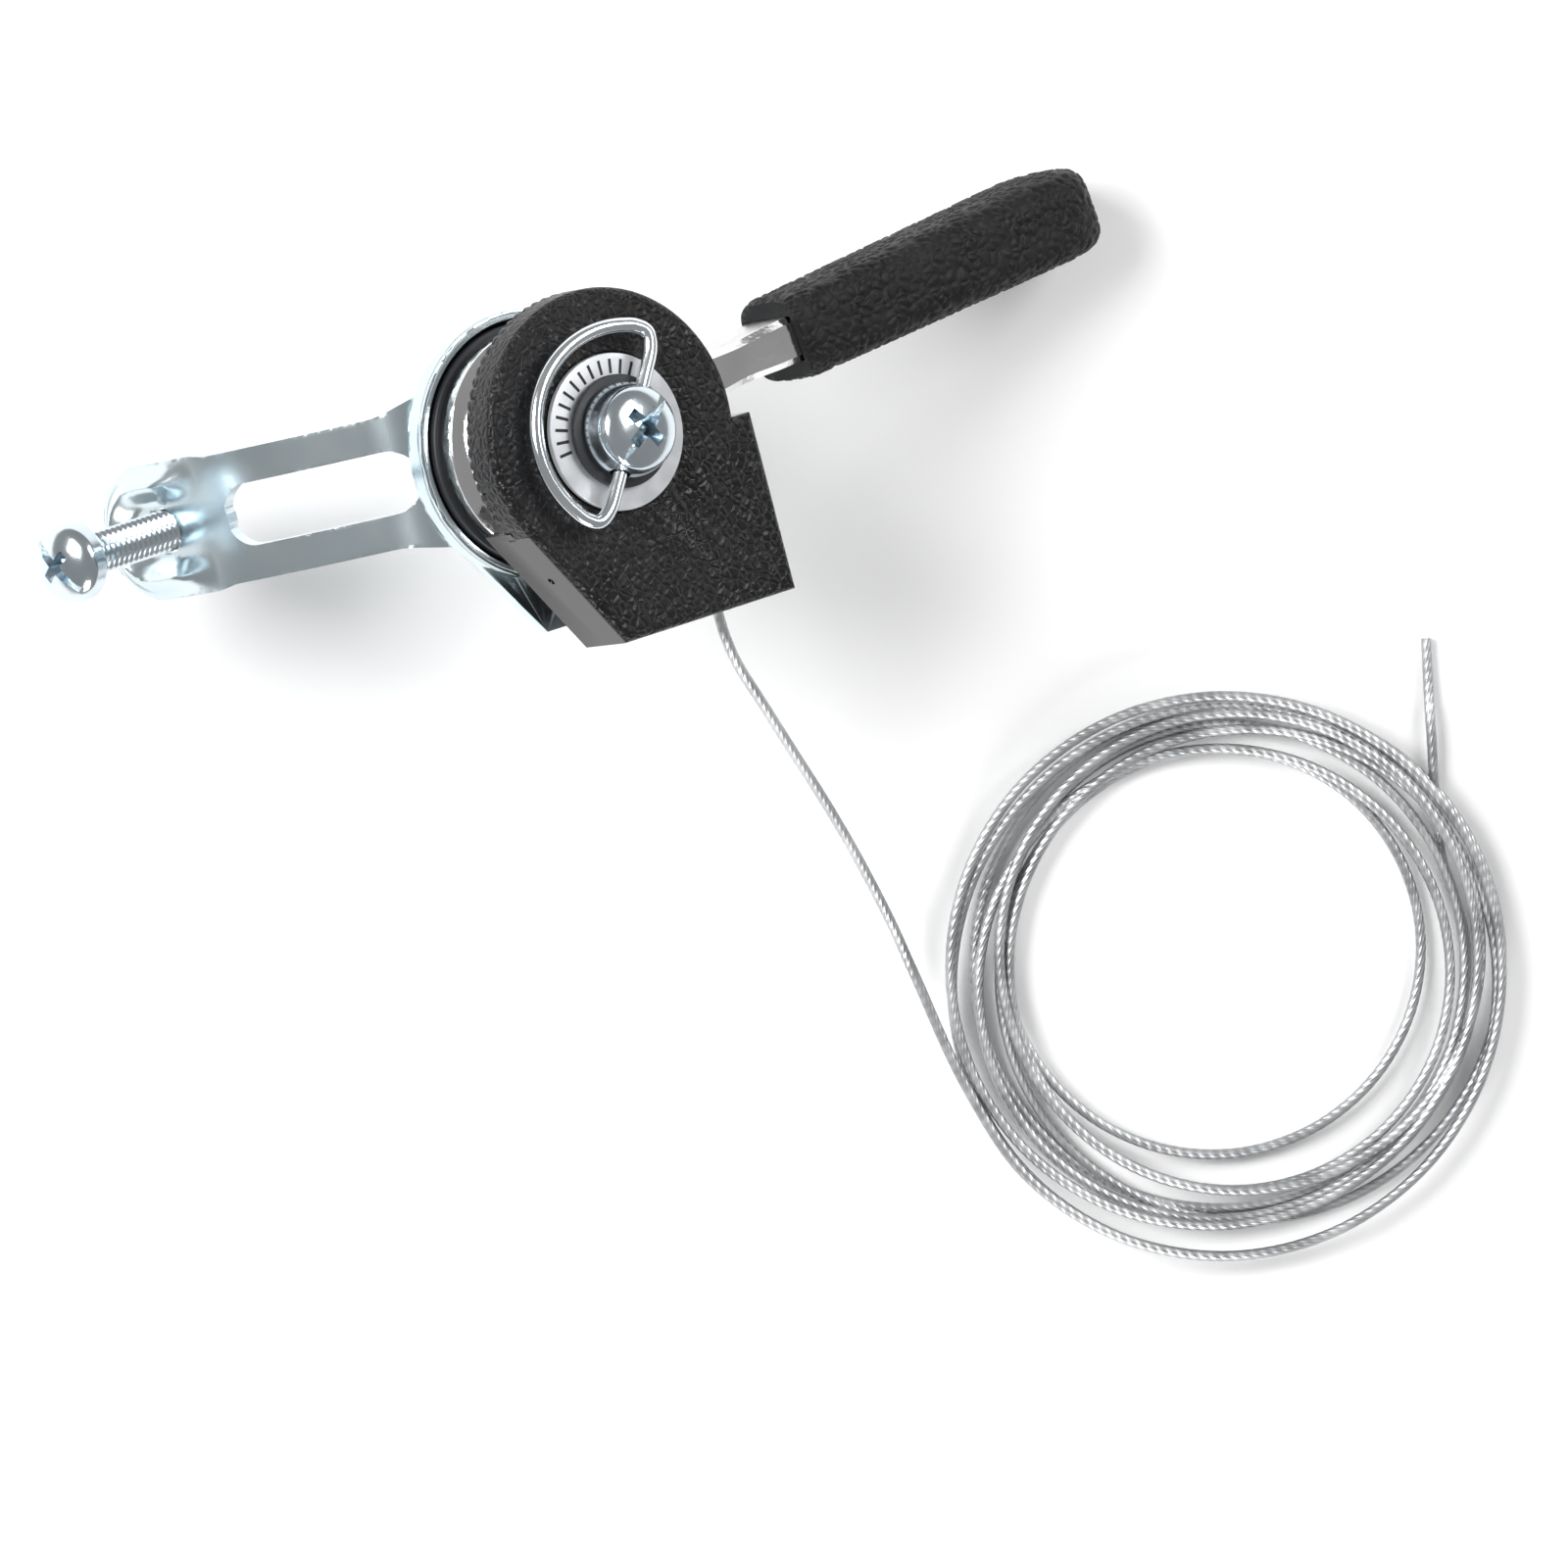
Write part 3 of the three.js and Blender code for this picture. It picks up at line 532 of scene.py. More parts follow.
    @staticmethod
    def smooth(piece: bpy.types.Object, angle: float = 40.0) -> bpy.types.Object:
        """Shades a piece smooth except at edges sharper than an angle.

        Args:
            piece: The piece.
            angle: The angle in degrees.

        Returns:
            The piece.
        """
        piece.data.shade_smooth()
        piece.data.set_sharp_from_angle(angle=math.radians(angle))
        return piece

    @staticmethod
    def settle(piece: bpy.types.Object, matrix: Matrix, body: str, finish: Finish,
               nodes: Sequence[str]) -> bpy.types.Object:
        """Moves a finished mesh into the row frame, dresses it and hands it to its body.

        Args:
            piece: The piece, in its own frame.
            matrix: The way from that frame to the row frame.
            body: The body that it rides on.
            finish: Its finish.
            nodes: The nodes that it stands for.

        Returns:
            The piece.
        """
        piece.data.transform(matrix)
        if not piece.data.materials:
            finish.dress(piece)
        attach(piece, body)
        if nodes:
            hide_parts(*nodes)
        LOG.info("made %s on %s: %d faces", piece.name, body, len(piece.data.polygons))
        return piece


def blend_to(low: float, high: float, value: float) -> float:
    """Rises smoothly from 0 at low to 1 at high."""
    share = min(max((value - low) / (high - low), 0.0), 1.0)
    return share * share * (3 - 2 * share)


# ---------------------------------------------------------------- camera and studio
@dataclass(frozen=True)
class Camera:
    """A long lens held nearly straight above the table."""

    azimuth: float = -160.7
    elevation: float = 83.29
    roll: float = 146.0
    distance: float = 1.0
    lens: float = 211.65
    sensor: float = 36.0
    aim_right: float = 18.3
    aim_up: float = -38.2

    def build(self, target: Vector) -> bpy.types.Object:
        """Makes the scene's camera.

        Args:
            target: The middle of the dial, which the camera is set out from.

        Returns:
            The camera.
        """
        turn, rise = math.radians(self.azimuth), math.radians(self.elevation)
        back = Vector((math.sin(turn) * math.cos(rise), -math.cos(turn) * math.cos(rise), math.sin(rise)))
        level = Vector((math.cos(turn), math.sin(turn), 0))
        right = Matrix.Rotation(math.radians(self.roll), 3, back) @ level
        up = back.cross(right)
        place = target + back * self.distance + right * self.aim_right * MM + up * self.aim_up * MM
        data = bpy.data.cameras.new("camera")
        data.lens = self.lens
        data.sensor_width = self.sensor
        data.clip_end = 10.0
        camera = bpy.data.objects.new("camera", data)
        axes = Matrix((right, up, back)).transposed().to_4x4()
        camera.matrix_world = Matrix.Translation(place) @ axes
        bpy.context.scene.collection.objects.link(camera)
        bpy.context.scene.camera = camera
        return camera


@dataclass(frozen=True)
class Studio:
    """A pale table top under large soft lamps."""

    floor_size: float = 3.0
    floor_colour: Point = (0.93, 0.93, 0.93)
    sky: float = 0.30

    def build(self, centre: Vector) -> None:
        """Makes the floor, the sky and the lamps.

        Args:
            centre: The middle of the object, which the lamps face.
        """
        self._floor(centre)
        self._world()
        self._lamp("key_lamp", centre, Vector((-0.55, 0.45, 0.75)), 0.5, 10.0)
        self._lamp("fill_lamp", centre, Vector((0.75, 0.35, 0.7)), 0.45, 5.0)
        self._lamp("low_lamp", centre, Vector((-0.25, -0.85, 0.4)), 0.35, 4.5)

    def _floor(self, centre: Vector) -> None:
        """Makes the table top.

        Args:
            centre: The middle of the object.
        """
        mesh = bmesh.new()
        bmesh.ops.create_grid(mesh, x_segments=2, y_segments=2, size=self.floor_size / 2)
        data = bpy.data.meshes.new("table_top")
        mesh.to_mesh(data)
        mesh.free()
        floor = bpy.data.objects.new("table_top", data)
        floor.location = (centre.x, centre.y, -0.0002)
        bpy.context.scene.collection.objects.link(floor)
        material = bpy.data.materials.new("table_top")
        material.use_nodes = True
        shader = material.node_tree.nodes["Principled BSDF"]
        shader.inputs["Base Color"].default_value = (*self.floor_colour, 1)
        shader.inputs["Roughness"].default_value = 0.9
        data.materials.append(material)

    def _world(self) -> None:
        """Lights the scene evenly from all round."""
        world = bpy.data.worlds.new("studio")
        world.use_nodes = True
        sky = world.node_tree.nodes["Background"]
        sky.inputs["Color"].default_value = (1, 1, 1, 1)
        sky.inputs["Strength"].default_value = self.sky
        bpy.context.scene.world = world
        bpy.context.scene.view_settings.view_transform = "Standard"

    @staticmethod
    def _lamp(name: str, centre: Vector, way: Vector, size: float, power: float) -> None:
        """Hangs one square lamp that faces the object.

        Args:
            name: The lamp's name.
            centre: The middle of the object.
            way: The lamp's place, from that middle.
            size: The length of its side in metres.
            power: Its power in watts.
        """
        data = bpy.data.lights.new(name, "AREA")
        data.size = size
        data.energy = power
        lamp = bpy.data.objects.new(name, data)
        lamp.location = centre + way
        lamp.rotation_mode = "QUATERNION"
        lamp.rotation_quaternion = (-way).to_track_quat("-Z", "Y")
        bpy.context.scene.collection.objects.link(lamp)


# ---------------------------------------------------------------- clamp band and its screw
@dataclass
class ClampBand:
    """The bent steel strap: screw tab, slotted leg, flat seat, leg round the handlebar, and hooked end."""

    thickness: float = 1.6
    corners: tuple[Point, ...] = (
        (-28.9, -28.6, 0), (-25.3, -12.3, 3), (-22.3, -4, 6), (-12.8, 12.4, 5), (0, 12.4, 0),
    )
    wrap_radius: float = 12.4
    hook_angle: float = math.radians(-24)
    hook_slope: float = math.radians(-40)
    hook_bend: float = 5.0
    hook_length: float = 13.5
    tab_radius: float = 7.7
    slotted_half: float = 7.3
    wrap_half: float = 5.6
    seat_half: float = 8.8
    seat: tuple[float, float] = (48.0, 66.0)
    rim_height: float = 1.5
    rim_radius: float = 5.3
    rim_half: float = 2.2
    hole_from_bend: float = 7.2
    screw_hole: float = 2.7
    stud_hole: float = 4.2
    slot_halves: tuple[float, float] = (3.5, 1.6)
    leg_slot_margins: tuple[float, float] = (3.0, 3.5)
    hook_slot_margins: tuple[float, float] = (2.5, 2.6)
    stations: int = 300
    across: int = 34
    fine: float = 0.05
    line: list[tuple[float, float]] = field(default_factory=list)

    def __post_init__(self) -> None:
        """Walks the strap's middle line at an even step."""
        rough = self._corner_run()
        rough += [(self.wrap_radius * math.cos(a), self.wrap_radius * math.sin(a))
                  for a in self._arc(math.pi / 2, self.hook_angle)]
        rough += self._hook(rough[-1])
        flat = [Vector((x, z, 0)) for x, z in rough]
        self.line = [(p.x, p.y) for p in self._even(flat, self.fine)]

    @staticmethod
    def _arc(start: float, stop: float, steps: int = 90) -> list[float]:
        """Gives the angles of an arc, its start left out."""
        return [start + (stop - start) * i / steps for i in range(1, steps + 1)]

    @staticmethod
    def _even(points: Sequence[Vector], step: float) -> list[Vector]:
        """Walks a chain of straight pieces at an even step.

        Args:
            points: The chain's points.
            step: The distance between the points that come back.

        Returns:
            The evenly spaced points.
        """
        placed, left = [points[0]], step
        for a, b in zip(points, points[1:]):
            span = (b - a).length
            while span > 1e-9 and left <= span:
                placed.append(a.lerp(b, left / span))
                left += step
            left -= span
        return placed

    def _corner_run(self) -> list[tuple[float, float]]:
        """Gives the straight run and its rounded corners, from the tab to the seat.

        Returns:
            The run's points.
        """
        points = [Vector(corner[:2]) for corner in self.corners]
        run = [tuple(points[0])]
        for i in range(1, len(points)):
            cut = self.corners[i][2]
            if not cut:
                run.append(tuple(points[i]))
                continue
            before = points[i] + (points[i - 1] - points[i]).normalized() * cut
            after = points[i] + (points[i + 1] - points[i]).normalized() * cut
            run += [tuple(bezier(before, points[i], after, k / 24)) for k in range(25)]
        return run

    def _hook(self, end: tuple[float, float]) -> list[tuple[float, float]]:
        """Gives the turned-out end, from where the wrapping leg stops.

        Args:
            end: The wrapping leg's last point.

        Returns:
            The end's points.
        """
        down = Vector((math.sin(self.hook_angle), -math.cos(self.hook_angle)))
        out = Vector((math.cos(self.hook_slope), math.sin(self.hook_slope)))
        start = Vector(end)
        knee = start + down * self.hook_bend * 0.3
        after = knee + out * self.hook_bend
        bend = [tuple(bezier(start, knee, after, k / 24)) for k in range(1, 25)]
        return [*bend, tuple(knee + out * self.hook_length)]

    @property
    def length(self) -> float:
        """The strap's length along its middle line."""
        return (len(self.line) - 1) * self.fine

    @property
    def tab_length(self) -> float:
        """The length from the tab's end to its bend."""
        return (Vector(self.corners[1][:2]) - Vector(self.corners[0][:2])).length

    def at(self, length: float) -> tuple[Vector, Vector]:
        """Gives the middle line's point and outward direction at a length along it.

        Args:
            length: The length from the tab's end.

        Returns:
            The point and the outward direction, both as (x, z).
        """
        last = len(self.line) - 1
        index = min(max(length / self.fine, 0.0), float(last))
        low = min(int(index), last - 1)
        point = Vector(self.line[low]).lerp(Vector(self.line[low + 1]), index - low)
        reach = 8
        ahead = Vector(self.line[min(low + reach, last)])
        behind = Vector(self.line[max(low - reach, 0)])
        along = (ahead - behind).normalized()
        return point, Vector((-along.y, along.x))

    def half(self, length: float) -> float:
        """Gives the strap's half width at a length along it.

        Args:
            length: The length from the tab's end.

        Returns:
            The half width.
        """
        half = self.tab_radius
        bend = blend_to(self.tab_length - 1, self.tab_length + 2, length)
        half += (self.slotted_half - self.tab_radius) * bend
        half += (self.seat_half - self.slotted_half) * blend_to(self.seat[0] - 8, self.seat[0], length)
        half += (self.wrap_half - self.seat_half) * blend_to(self.seat[1] - 6, self.seat[1] + 3, length)
        for gone, radius in ((length, self.tab_radius), (self.length - length, self.wrap_half)):
            if gone < radius:
                half = min(half, math.sqrt(max(radius ** 2 - (radius - gone) ** 2, 1.2)))
        return half

    def relief(self, length: float, y: float) -> float:
        """Gives the height of the pressed forms: the horseshoe rim, and the dish of the hooked end.

        Args:
            length: The length from the tab's end.
            y: The distance from the strap's centre line.

        Returns:
            The height above the flat strap.
        """
        bow = math.hypot(self.tab_radius - length, y) if length < self.tab_radius else abs(y)
        rim = max(0.0, 1 - abs(bow - self.rim_radius) / self.rim_half)
        fade = 1 - blend_to(self.tab_length - 6.5, self.tab_length - 0.5, length)
        start = self.length - self.hook_length
        dish = blend_to(start + 3, start + 8, length) * 1.3 * (y / self.wrap_half) ** 2
        return self.rim_height * math.sin(rim * math.pi / 2) ** 2 * fade + dish

    def strip(self, lengths: Sequence[float], half: Callable[[float], float], thickness: float, across: int,
              relief: Callable[[float, float], float]) -> bpy.types.Object:
        """Bends a flat strip along the middle line.

        Args:
            lengths: The lengths that the strip steps through.
            half: Gives the half width at a length.
            thickness: The strip's thickness.
            across: How many steps the strip has across.
            relief: Gives the height of the pressed forms.

        Returns:
            The strip.
        """
        loops = []
        for length in lengths:
            point, out = self.at(length)
            width = half(length)
            shares = [2 * i / across - 1 for i in range(across + 1)]
            rows = [(share, 0.5) for share in shares] + [(share, -0.5) for share in reversed(shares)]
            loop = []
            for share, side in rows:
                y = share * width
                lift = side * thickness + relief(length, y)
                loop.append((point.x + out.x * lift, y, point.y + out.y * lift))
            loops.append(loop)
        return Shape.rings(loops, "strip")

    def slot_cutter(self, start: float, stop: float, half: float) -> bpy.types.Object:
        """Makes a round-ended cutter that follows the strap between two lengths.

        Args:
            start: Where the slot starts.
            stop: Where it stops.
            half: Its half width.

        Returns:
            The cutter.
        """
        steps = 60
        middle, reach = (start + stop) / 2, (stop - start) / 2
        lengths = [middle - reach * math.cos(math.pi * i / steps) for i in range(steps + 1)]

        def rounded(length: float) -> float:
            """Gives the cutter's half width."""
            edge = min(length - start, stop - length, half)
            return math.sqrt(max(half ** 2 - (half - edge) ** 2, 0.02 * half ** 2))

        return self.strip(lengths, rounded, 2.6 * self.thickness, 1, lambda length, y: 0.0)

    def screw_frame(self) -> Matrix:
        """Gives the clamp screw's frame: +Z out through the tab towards the head.

        Returns:
            The frame, in the mechanism's frame.
        """
        point, out = self.at(self.tab_length - self.hole_from_bend)
        turn = Vector((out.x, 0, out.y)).to_track_quat("Z", "Y").to_matrix().to_4x4()
        return Matrix.Translation(Vector((point.x, 0, point.y))) @ turn

    def build(self) -> None:
        """Makes the strap."""
        ends = 16
        lengths = [self.tab_radius * (1 - math.cos(i / ends * math.pi / 2)) for i in range(ends)]
        middle = self.length - self.tab_radius - self.wrap_half
        lengths += [self.tab_radius + middle * i / self.stations for i in range(self.stations + 1)]
        lengths += [self.length - self.wrap_half * (1 - math.cos(i / ends * math.pi / 2))
                    for i in range(ends - 1, -1, -1)]
        strap = self.strip(lengths, self.half, self.thickness, self.across, self.relief)
        hole = Shape.lathe([(self.screw_hole, -8), (self.screw_hole, 8)], "hole", 48)
        hole.data.transform(self.screw_frame())
        seat_z = self.corners[-1][1]
        stud = Shape.lathe([(self.stud_hole, seat_z - 4), (self.stud_hole, seat_z + 4)], "hole", 64)
        start = self.length - self.hook_length
        cutters = [
            self.slot_cutter(self.tab_length + self.leg_slot_margins[0],
                             self.seat[0] - self.leg_slot_margins[1], self.slot_halves[0]),
            self.slot_cutter(start + self.hook_slot_margins[0],
                             self.length - self.hook_slot_margins[1], self.slot_halves[1]),
            hole, stud,
        ]
        Shape.combine(strap, cutters, "DIFFERENCE")
        Shape.soften(strap, 0.28, 50.0, 3)
        strap.name = "clamp_strap"
        Shape.settle(strap, MECHANISM.to_row, "frame", ZINC, ["clamp_band"])


def bezier(a: Vector, b: Vector, c: Vector, t: float) -> Vector:
    """Gives a point of a three-point Bezier curve."""
    return a * (1 - t) ** 2 + b * (2 * t * (1 - t)) + c * t ** 2


@dataclass
class DriveRecess:
    """The cross recess and the saw cut of a screw head."""

    size: float
    top: float
    turn: float
    slotted: bool = True

    def cutters(self) -> list[bpy.types.Object]:
        """Makes the solids that cut the recess.

        Returns:
            The cutters.
        """
        arm, reach = self.size * 0.13, self.size * 0.47
        corners = [(arm, arm), (arm, reach), (-arm, reach), (-arm, arm), (-reach, arm), (-reach, -arm),
                   (-arm, -arm), (-arm, -reach), (arm, -reach), (arm, -arm), (reach, -arm), (reach, arm)]
        deep = self.top - self.size * 0.5
        steps = ((deep, 0.5), (self.top - self.size * 0.1, 0.96), (self.top + 1, 1.08))
        made = [Shape.rings([[(x * scale, y * scale, z) for x, y in corners] for z, scale in steps], "cross")]
        if self.slotted:
            half = self.size * 0.085
            made.append(Shape.block((-self.size * 1.1, -half, self.top - self.size * 0.2),
                                    (self.size * 1.1, half, self.top + 1)))
        for cutter in made:
            cutter.data.transform(Matrix.Rotation(self.turn, 4, "Z"))
        return made


@dataclass
class Thread:
    """A screw thread as real relief on a shank."""

    radius: float
    pitch: float = 0.8
    depth: float = 0.42
    sides: int = 40
    rings_per_pitch: int = 10

    def loops(self, low: float, high: float) -> list[list[Point]]:
        """Gives the shank's rings between two heights, with a chamfered low end.

        Args:
            low: The shank's free end.
            high: Where the thread runs out.

        Returns:
            The rings.
        """
        count = round((high - low) / self.pitch * self.rings_per_pitch)
        loops = []
        for j in range(count + 1):
            height = low + (high - low) * j / count
            chamfer = 0.62 + 0.38 * blend_to(0.0, 0.9, height - low)
            run_out = blend_to(0.0, 0.7, high - height)
            loop = []
            for i in range(self.sides):
                angle = 2 * math.pi * i / self.sides
                phase = (height / self.pitch - i / self.sides) % 1.0
                ridge = min(1.0, max(0.0, abs(2 * phase - 1) * 1.35 - 0.1))
                radius = (self.radius - self.depth * ridge * run_out) * chamfer
                loop.append((radius * math.cos(angle), radius * math.sin(angle), height))
            loops.append(loop)
        return loops

    def capped(self, low: float, high: float, head: Profile, name: str) -> bpy.types.Object:
        """Makes the shank and turns its head in one piece.

        Args:
            low: The shank's free end.
            high: Where the thread runs out.
            head: The head's profile above that.
            name: The piece's name.

        Returns:
            The screw, without its recess.
        """
        loops = self.loops(low, high)
        angles = [2 * math.pi * i / self.sides for i in range(self.sides)]
        loops += [[(r * math.cos(a), r * math.sin(a), z) for a in angles] for r, z in head]
        return Shape.rings(loops, name)


@dataclass
class ClampScrew:
    """The M5 pan-head screw through the strap's tab."""

    band: ClampBand
    thread: Thread = field(default_factory=lambda: Thread(2.4))
    inside: float = -5.8
    under: float = 14.2
    head_radius: float = 4.6
    head_height: float = 3.8

    def build(self) -> None:
        """Makes the screw."""
        r, z, h = self.head_radius, self.under, self.head_height
        head = [(2.4, z - 0.02), (r - 0.3, z), (r - 0.06, z + 0.12), (r, z + 0.35), (r, z + 1.5)]
        for i in range(1, 12):
            angle = math.pi / 2 * i / 12
            head.append((r * (0.12 + 0.88 * math.cos(angle)), z + 1.5 + (h - 1.5) * math.sin(angle)))
        head.append((0.05, z + h))
        screw = self.thread.capped(self.inside, z - 0.4, head, "pan_head_screw")
        Shape.combine(screw, DriveRecess(r, z + h, math.radians(35)).cutters(), "DIFFERENCE")
        Shape.soften(screw, 0.09, 48.0, 2)
        place = MECHANISM.to_row @ self.band.screw_frame()
        Shape.settle(screw, place, "clamp_screw", SCREW_ZINC, ["clamp_screw"])


# ---------------------------------------------------------------- base and stack
@dataclass
class BasePlate:
    """The pressed cup under the drum, with the tongue and the channel that guides the cable."""

    radius: float = 15.0
    wall: float = 1.2
    low: float = 13.5
    height: float = 3.5
    bore: float = 4.2
    ear_inside: float = 9.1

    def build(self) -> None:
        """Makes the plate."""
        top, floor = self.low + self.height, self.low + self.wall
        curl = 0.5
        cup = Shape.lathe([
            (self.bore, self.low), (self.radius - 1.1, self.low), (self.radius - 0.35, self.low + 0.32),
            (self.radius - curl * 0.4, self.low + 1.0), (self.radius - curl * 0.4, top - 1.2),
            (self.radius, top - 0.6), (self.radius - 0.12, top - 0.15), (self.radius - 0.5, top),
            (self.radius - self.wall + 0.25, top - 0.1), (self.radius - self.wall, top - 0.5),
            (self.radius - self.wall, floor + 0.5), (self.radius - self.wall - 0.5, floor),
            (self.bore, floor),
        ], "cup", 128, closed=True)
        tongue = Shape.plate([
            (-10.8, -9.5), (-3.4, -20.4), (12.3, -20.4), (12.3, -5), (6, -13.5), (-4, -13.5),
        ], self.low, floor, "tongue")
        channel = Shape.plate([
            (11.4, self.low), (12.3, self.low), (14.9, 10.6), (17.5, self.low + 0.6), (17.5, floor + 0.6),
            (14.9, 12.2), (12.8, floor), (11.4, floor),
        ], 0, 14, "channel")
        channel.data.transform(Matrix.Translation((0, -6.4, 0)) @ Matrix.Rotation(math.pi / 2, 4, "X"))
        inner, outer = self.ear_inside, self.ear_inside + self.wall
        ears = [Shape.block((-8, y, 11.6), (-2, y + self.wall, self.low + 0.4)) for y in (-outer, inner)]
        Shape.combine(cup, [tongue, channel, *ears], "UNION")
        Shape.soften(cup, 0.22, 50.0, 2)
        cup.name = "pressed_base"
        Shape.settle(cup, MECHANISM.to_row, "frame", ZINC, ["base_plate"])


@dataclass(frozen=True)
class TurnedRing:
    """A flat ring with rounded edges."""

    name: str
    node: str
    finish: Finish
    outer: float
    inner: float
    low: float
    high: float
    edge: float = 0.18

    def build(self) -> bpy.types.Object:
        """Makes the ring.

        Returns:
            The ring.
        """
        profile = []
        corners = ((self.inner, self.low, 1, 1), (self.outer, self.low, -1, 1),
                   (self.outer, self.high, -1, -1), (self.inner, self.high, 1, -1))
        for index, (radius, height, inward, upward) in enumerate(corners):
            centre = (radius + inward * self.edge, height + upward * self.edge)
            start = math.pi + index * math.pi / 2
            for i in range(5):
                angle = start + math.pi / 2 * i / 4
                profile.append((centre[0] + self.edge * math.cos(angle),
                                centre[1] + self.edge * math.sin(angle)))
        ring = Shape.smooth(Shape.lathe(profile, self.name, 120, closed=True), 50.0)
        return Shape.settle(ring, MECHANISM.to_row, "frame", self.finish, [self.node])


@dataclass
class DialTicks:
    """The dial's printed strokes: thin ink bars on the plate."""

    inner: float = 6.35
    outer: float = 7.95
    half_width: float = 0.17
    low: float = 33.19
    high: float = 33.225
    first: float = 186.0
    pitch: float = 10.6
    count: int = 14

    def build(self) -> None:
        """Makes the strokes as one printed piece."""
        mesh = bmesh.new()
        for i in range(self.count):
            angle = math.radians(self.first - self.pitch * i)
            way = Vector((math.cos(angle), math.sin(angle), 0))
            side = Vector((-math.sin(angle), math.cos(angle), 0))
            low, high = Vector((0, 0, self.low)), Vector((0, 0, self.high))
            corners = [way * r + side * self.half_width * s for r, s in
                       ((self.inner, -1), (self.outer, -1), (self.outer, 1), (self.inner, 1))]
            under = [mesh.verts.new(corner + low) for corner in corners]
            over = [mesh.verts.new(corner + high) for corner in corners]
            mesh.faces.new(over)
            mesh.faces.new(list(reversed(under)))
            for j in range(4):
                k = (j + 1) % 4
                mesh.faces.new((under[j], under[k], over[k], over[j]))
        Shape.settle(Shape.from_bmesh(mesh, "dial_strokes"), MECHANISM.to_row, "frame", INK, [])


# ---------------------------------------------------------------- lever
@dataclass
class LeverDrum:
    """The cast lever: cable drum, nipple boss, flat arm, and the tang inside the grip."""

    radius: float = 13.0
    low: float = 17.7
    height: float = 9.5
    groove_z: float = 21.5
    groove_root: float = 11.5
    pocket_radius: float = 9.2
    pocket_z: float = 22.0
    orbit: float = 12.4
    nipple_radius: float = 2.1
    arm_start: float = 11.6
    arm_end: float = 30.6
    arm_waist: float = 0.10
    arm_chamfer: float = 0.7
    arm_height: float = 8.4
    arm_thickness: float = 5.2
    tang_end: float = 62.0
    tang_height: float = 6.0
    tang_thickness: float = 3.2
    centre_z: float = 22.4
    boss_radius: float = 3.7
    boss_span: tuple[float, float] = (-0.6, 6.4)
    bore_radius: float = 4.2
    socket_span: tuple[float, float] = (1.6, 9.0)
    wire_hole_radius: float = 1.1
    satin_from: float = 16.5

    def _across(self, radius: float, start: float, stop: float, sides: int) -> bpy.types.Object:
        """Makes a cylinder across the arm's root, through the nipple's place.

        Args:
            radius: The cylinder's radius.
            start: Where it starts, along the wire.
            stop: Where it stops.
            sides: How many sides it has.

        Returns:
            The cylinder.
        """
        rod = Shape.lathe([(radius, start), (radius, stop)], "rod", sides)
        place = Matrix.Translation((self.orbit, 0, self.groove_z))
        rod.data.transform(place @ Matrix.Rotation(-math.pi / 2, 4, "X"))
        return rod

    def _arm(self) -> bpy.types.Object:
        """Makes the arm, a little waisted on its way to the grip.

        Returns:
            The arm.
        """
        loops = []
        stops = 14
        for i in range(stops + 1):
            x = self.arm_start + (self.arm_end + 1 - self.arm_start) * i / stops
            waist = 1 - self.arm_waist * math.sin(math.pi * blend_to(0.15, 1.0, i / stops)) ** 2
            half_y, half_z = self.arm_thickness / 2 * waist, self.arm_height / 2 * waist
            cut = self.arm_chamfer
            loops.append([(x, y, self.centre_z + z) for y, z in (
                (-half_y + cut, -half_z), (half_y - cut, -half_z),
                (half_y, -half_z + cut), (half_y, half_z - cut),
                (half_y - cut, half_z), (-half_y + cut, half_z),
                (-half_y, half_z - cut), (-half_y, -half_z + cut),
            )])
        return Shape.rings(loops, "arm")

    def build(self) -> None:
        """Makes the lever."""
        top = self.low + self.height
        z, r, root = self.groove_z, self.radius, self.groove_root
        drum = Shape.lathe([
            (0, self.low), (r - 0.5, self.low), (r - 0.12, self.low + 0.14), (r, self.low + 0.5),
            (r, z - 1.75), (r - 0.15, z - 1.55), (root + 0.5, z - 1.0), (root + 0.1, z - 0.55),
            (root, z), (root + 0.1, z + 0.55), (root + 0.5, z + 1.0), (r - 0.15, z + 1.55),
            (r, z + 1.75), (r, top - 0.6), (r - 0.15, top - 0.15), (r - 0.6, top), (0, top),
        ], "drum", 144)
        half_y, half_z = self.tang_thickness / 2, self.tang_height / 2
        tang = Shape.block((self.arm_end, -half_y, self.centre_z - half_z),
                           (self.tang_end, half_y, self.centre_z + half_z))
        Shape.combine(drum, [self._across(self.boss_radius, *self.boss_span, 56), self._arm(), tang], "UNION")
        well = Shape.lathe([(self.pocket_radius, self.pocket_z), (self.pocket_radius, top + 1)], "well", 96)
        bore = Shape.lathe([(self.bore_radius, self.low - 1), (self.bore_radius, top + 1)], "bore", 64)
        socket = self._across(self.nipple_radius + 0.3, *self.socket_span, 48)
        wire_hole = self._across(self.wire_hole_radius, -4, 4, 24)
        Shape.combine(drum, [well, bore, socket, wire_hole], "DIFFERENCE")
        Shape.soften(drum, 0.3, 38.0, 3)
        drum.name = "cast_lever"
        drum.data.materials.append(CHROME.material())
        drum.data.materials.append(SATIN_CHROME.material())
        for polygon in drum.data.polygons:
            along = polygon.center.x
            if along > self.satin_from and abs(polygon.normal.y) > 0.85:
                polygon.material_index = 1
        Shape.settle(drum, MECHANISM.lever_to_row, "lever", CHROME, ["lever_drum"])


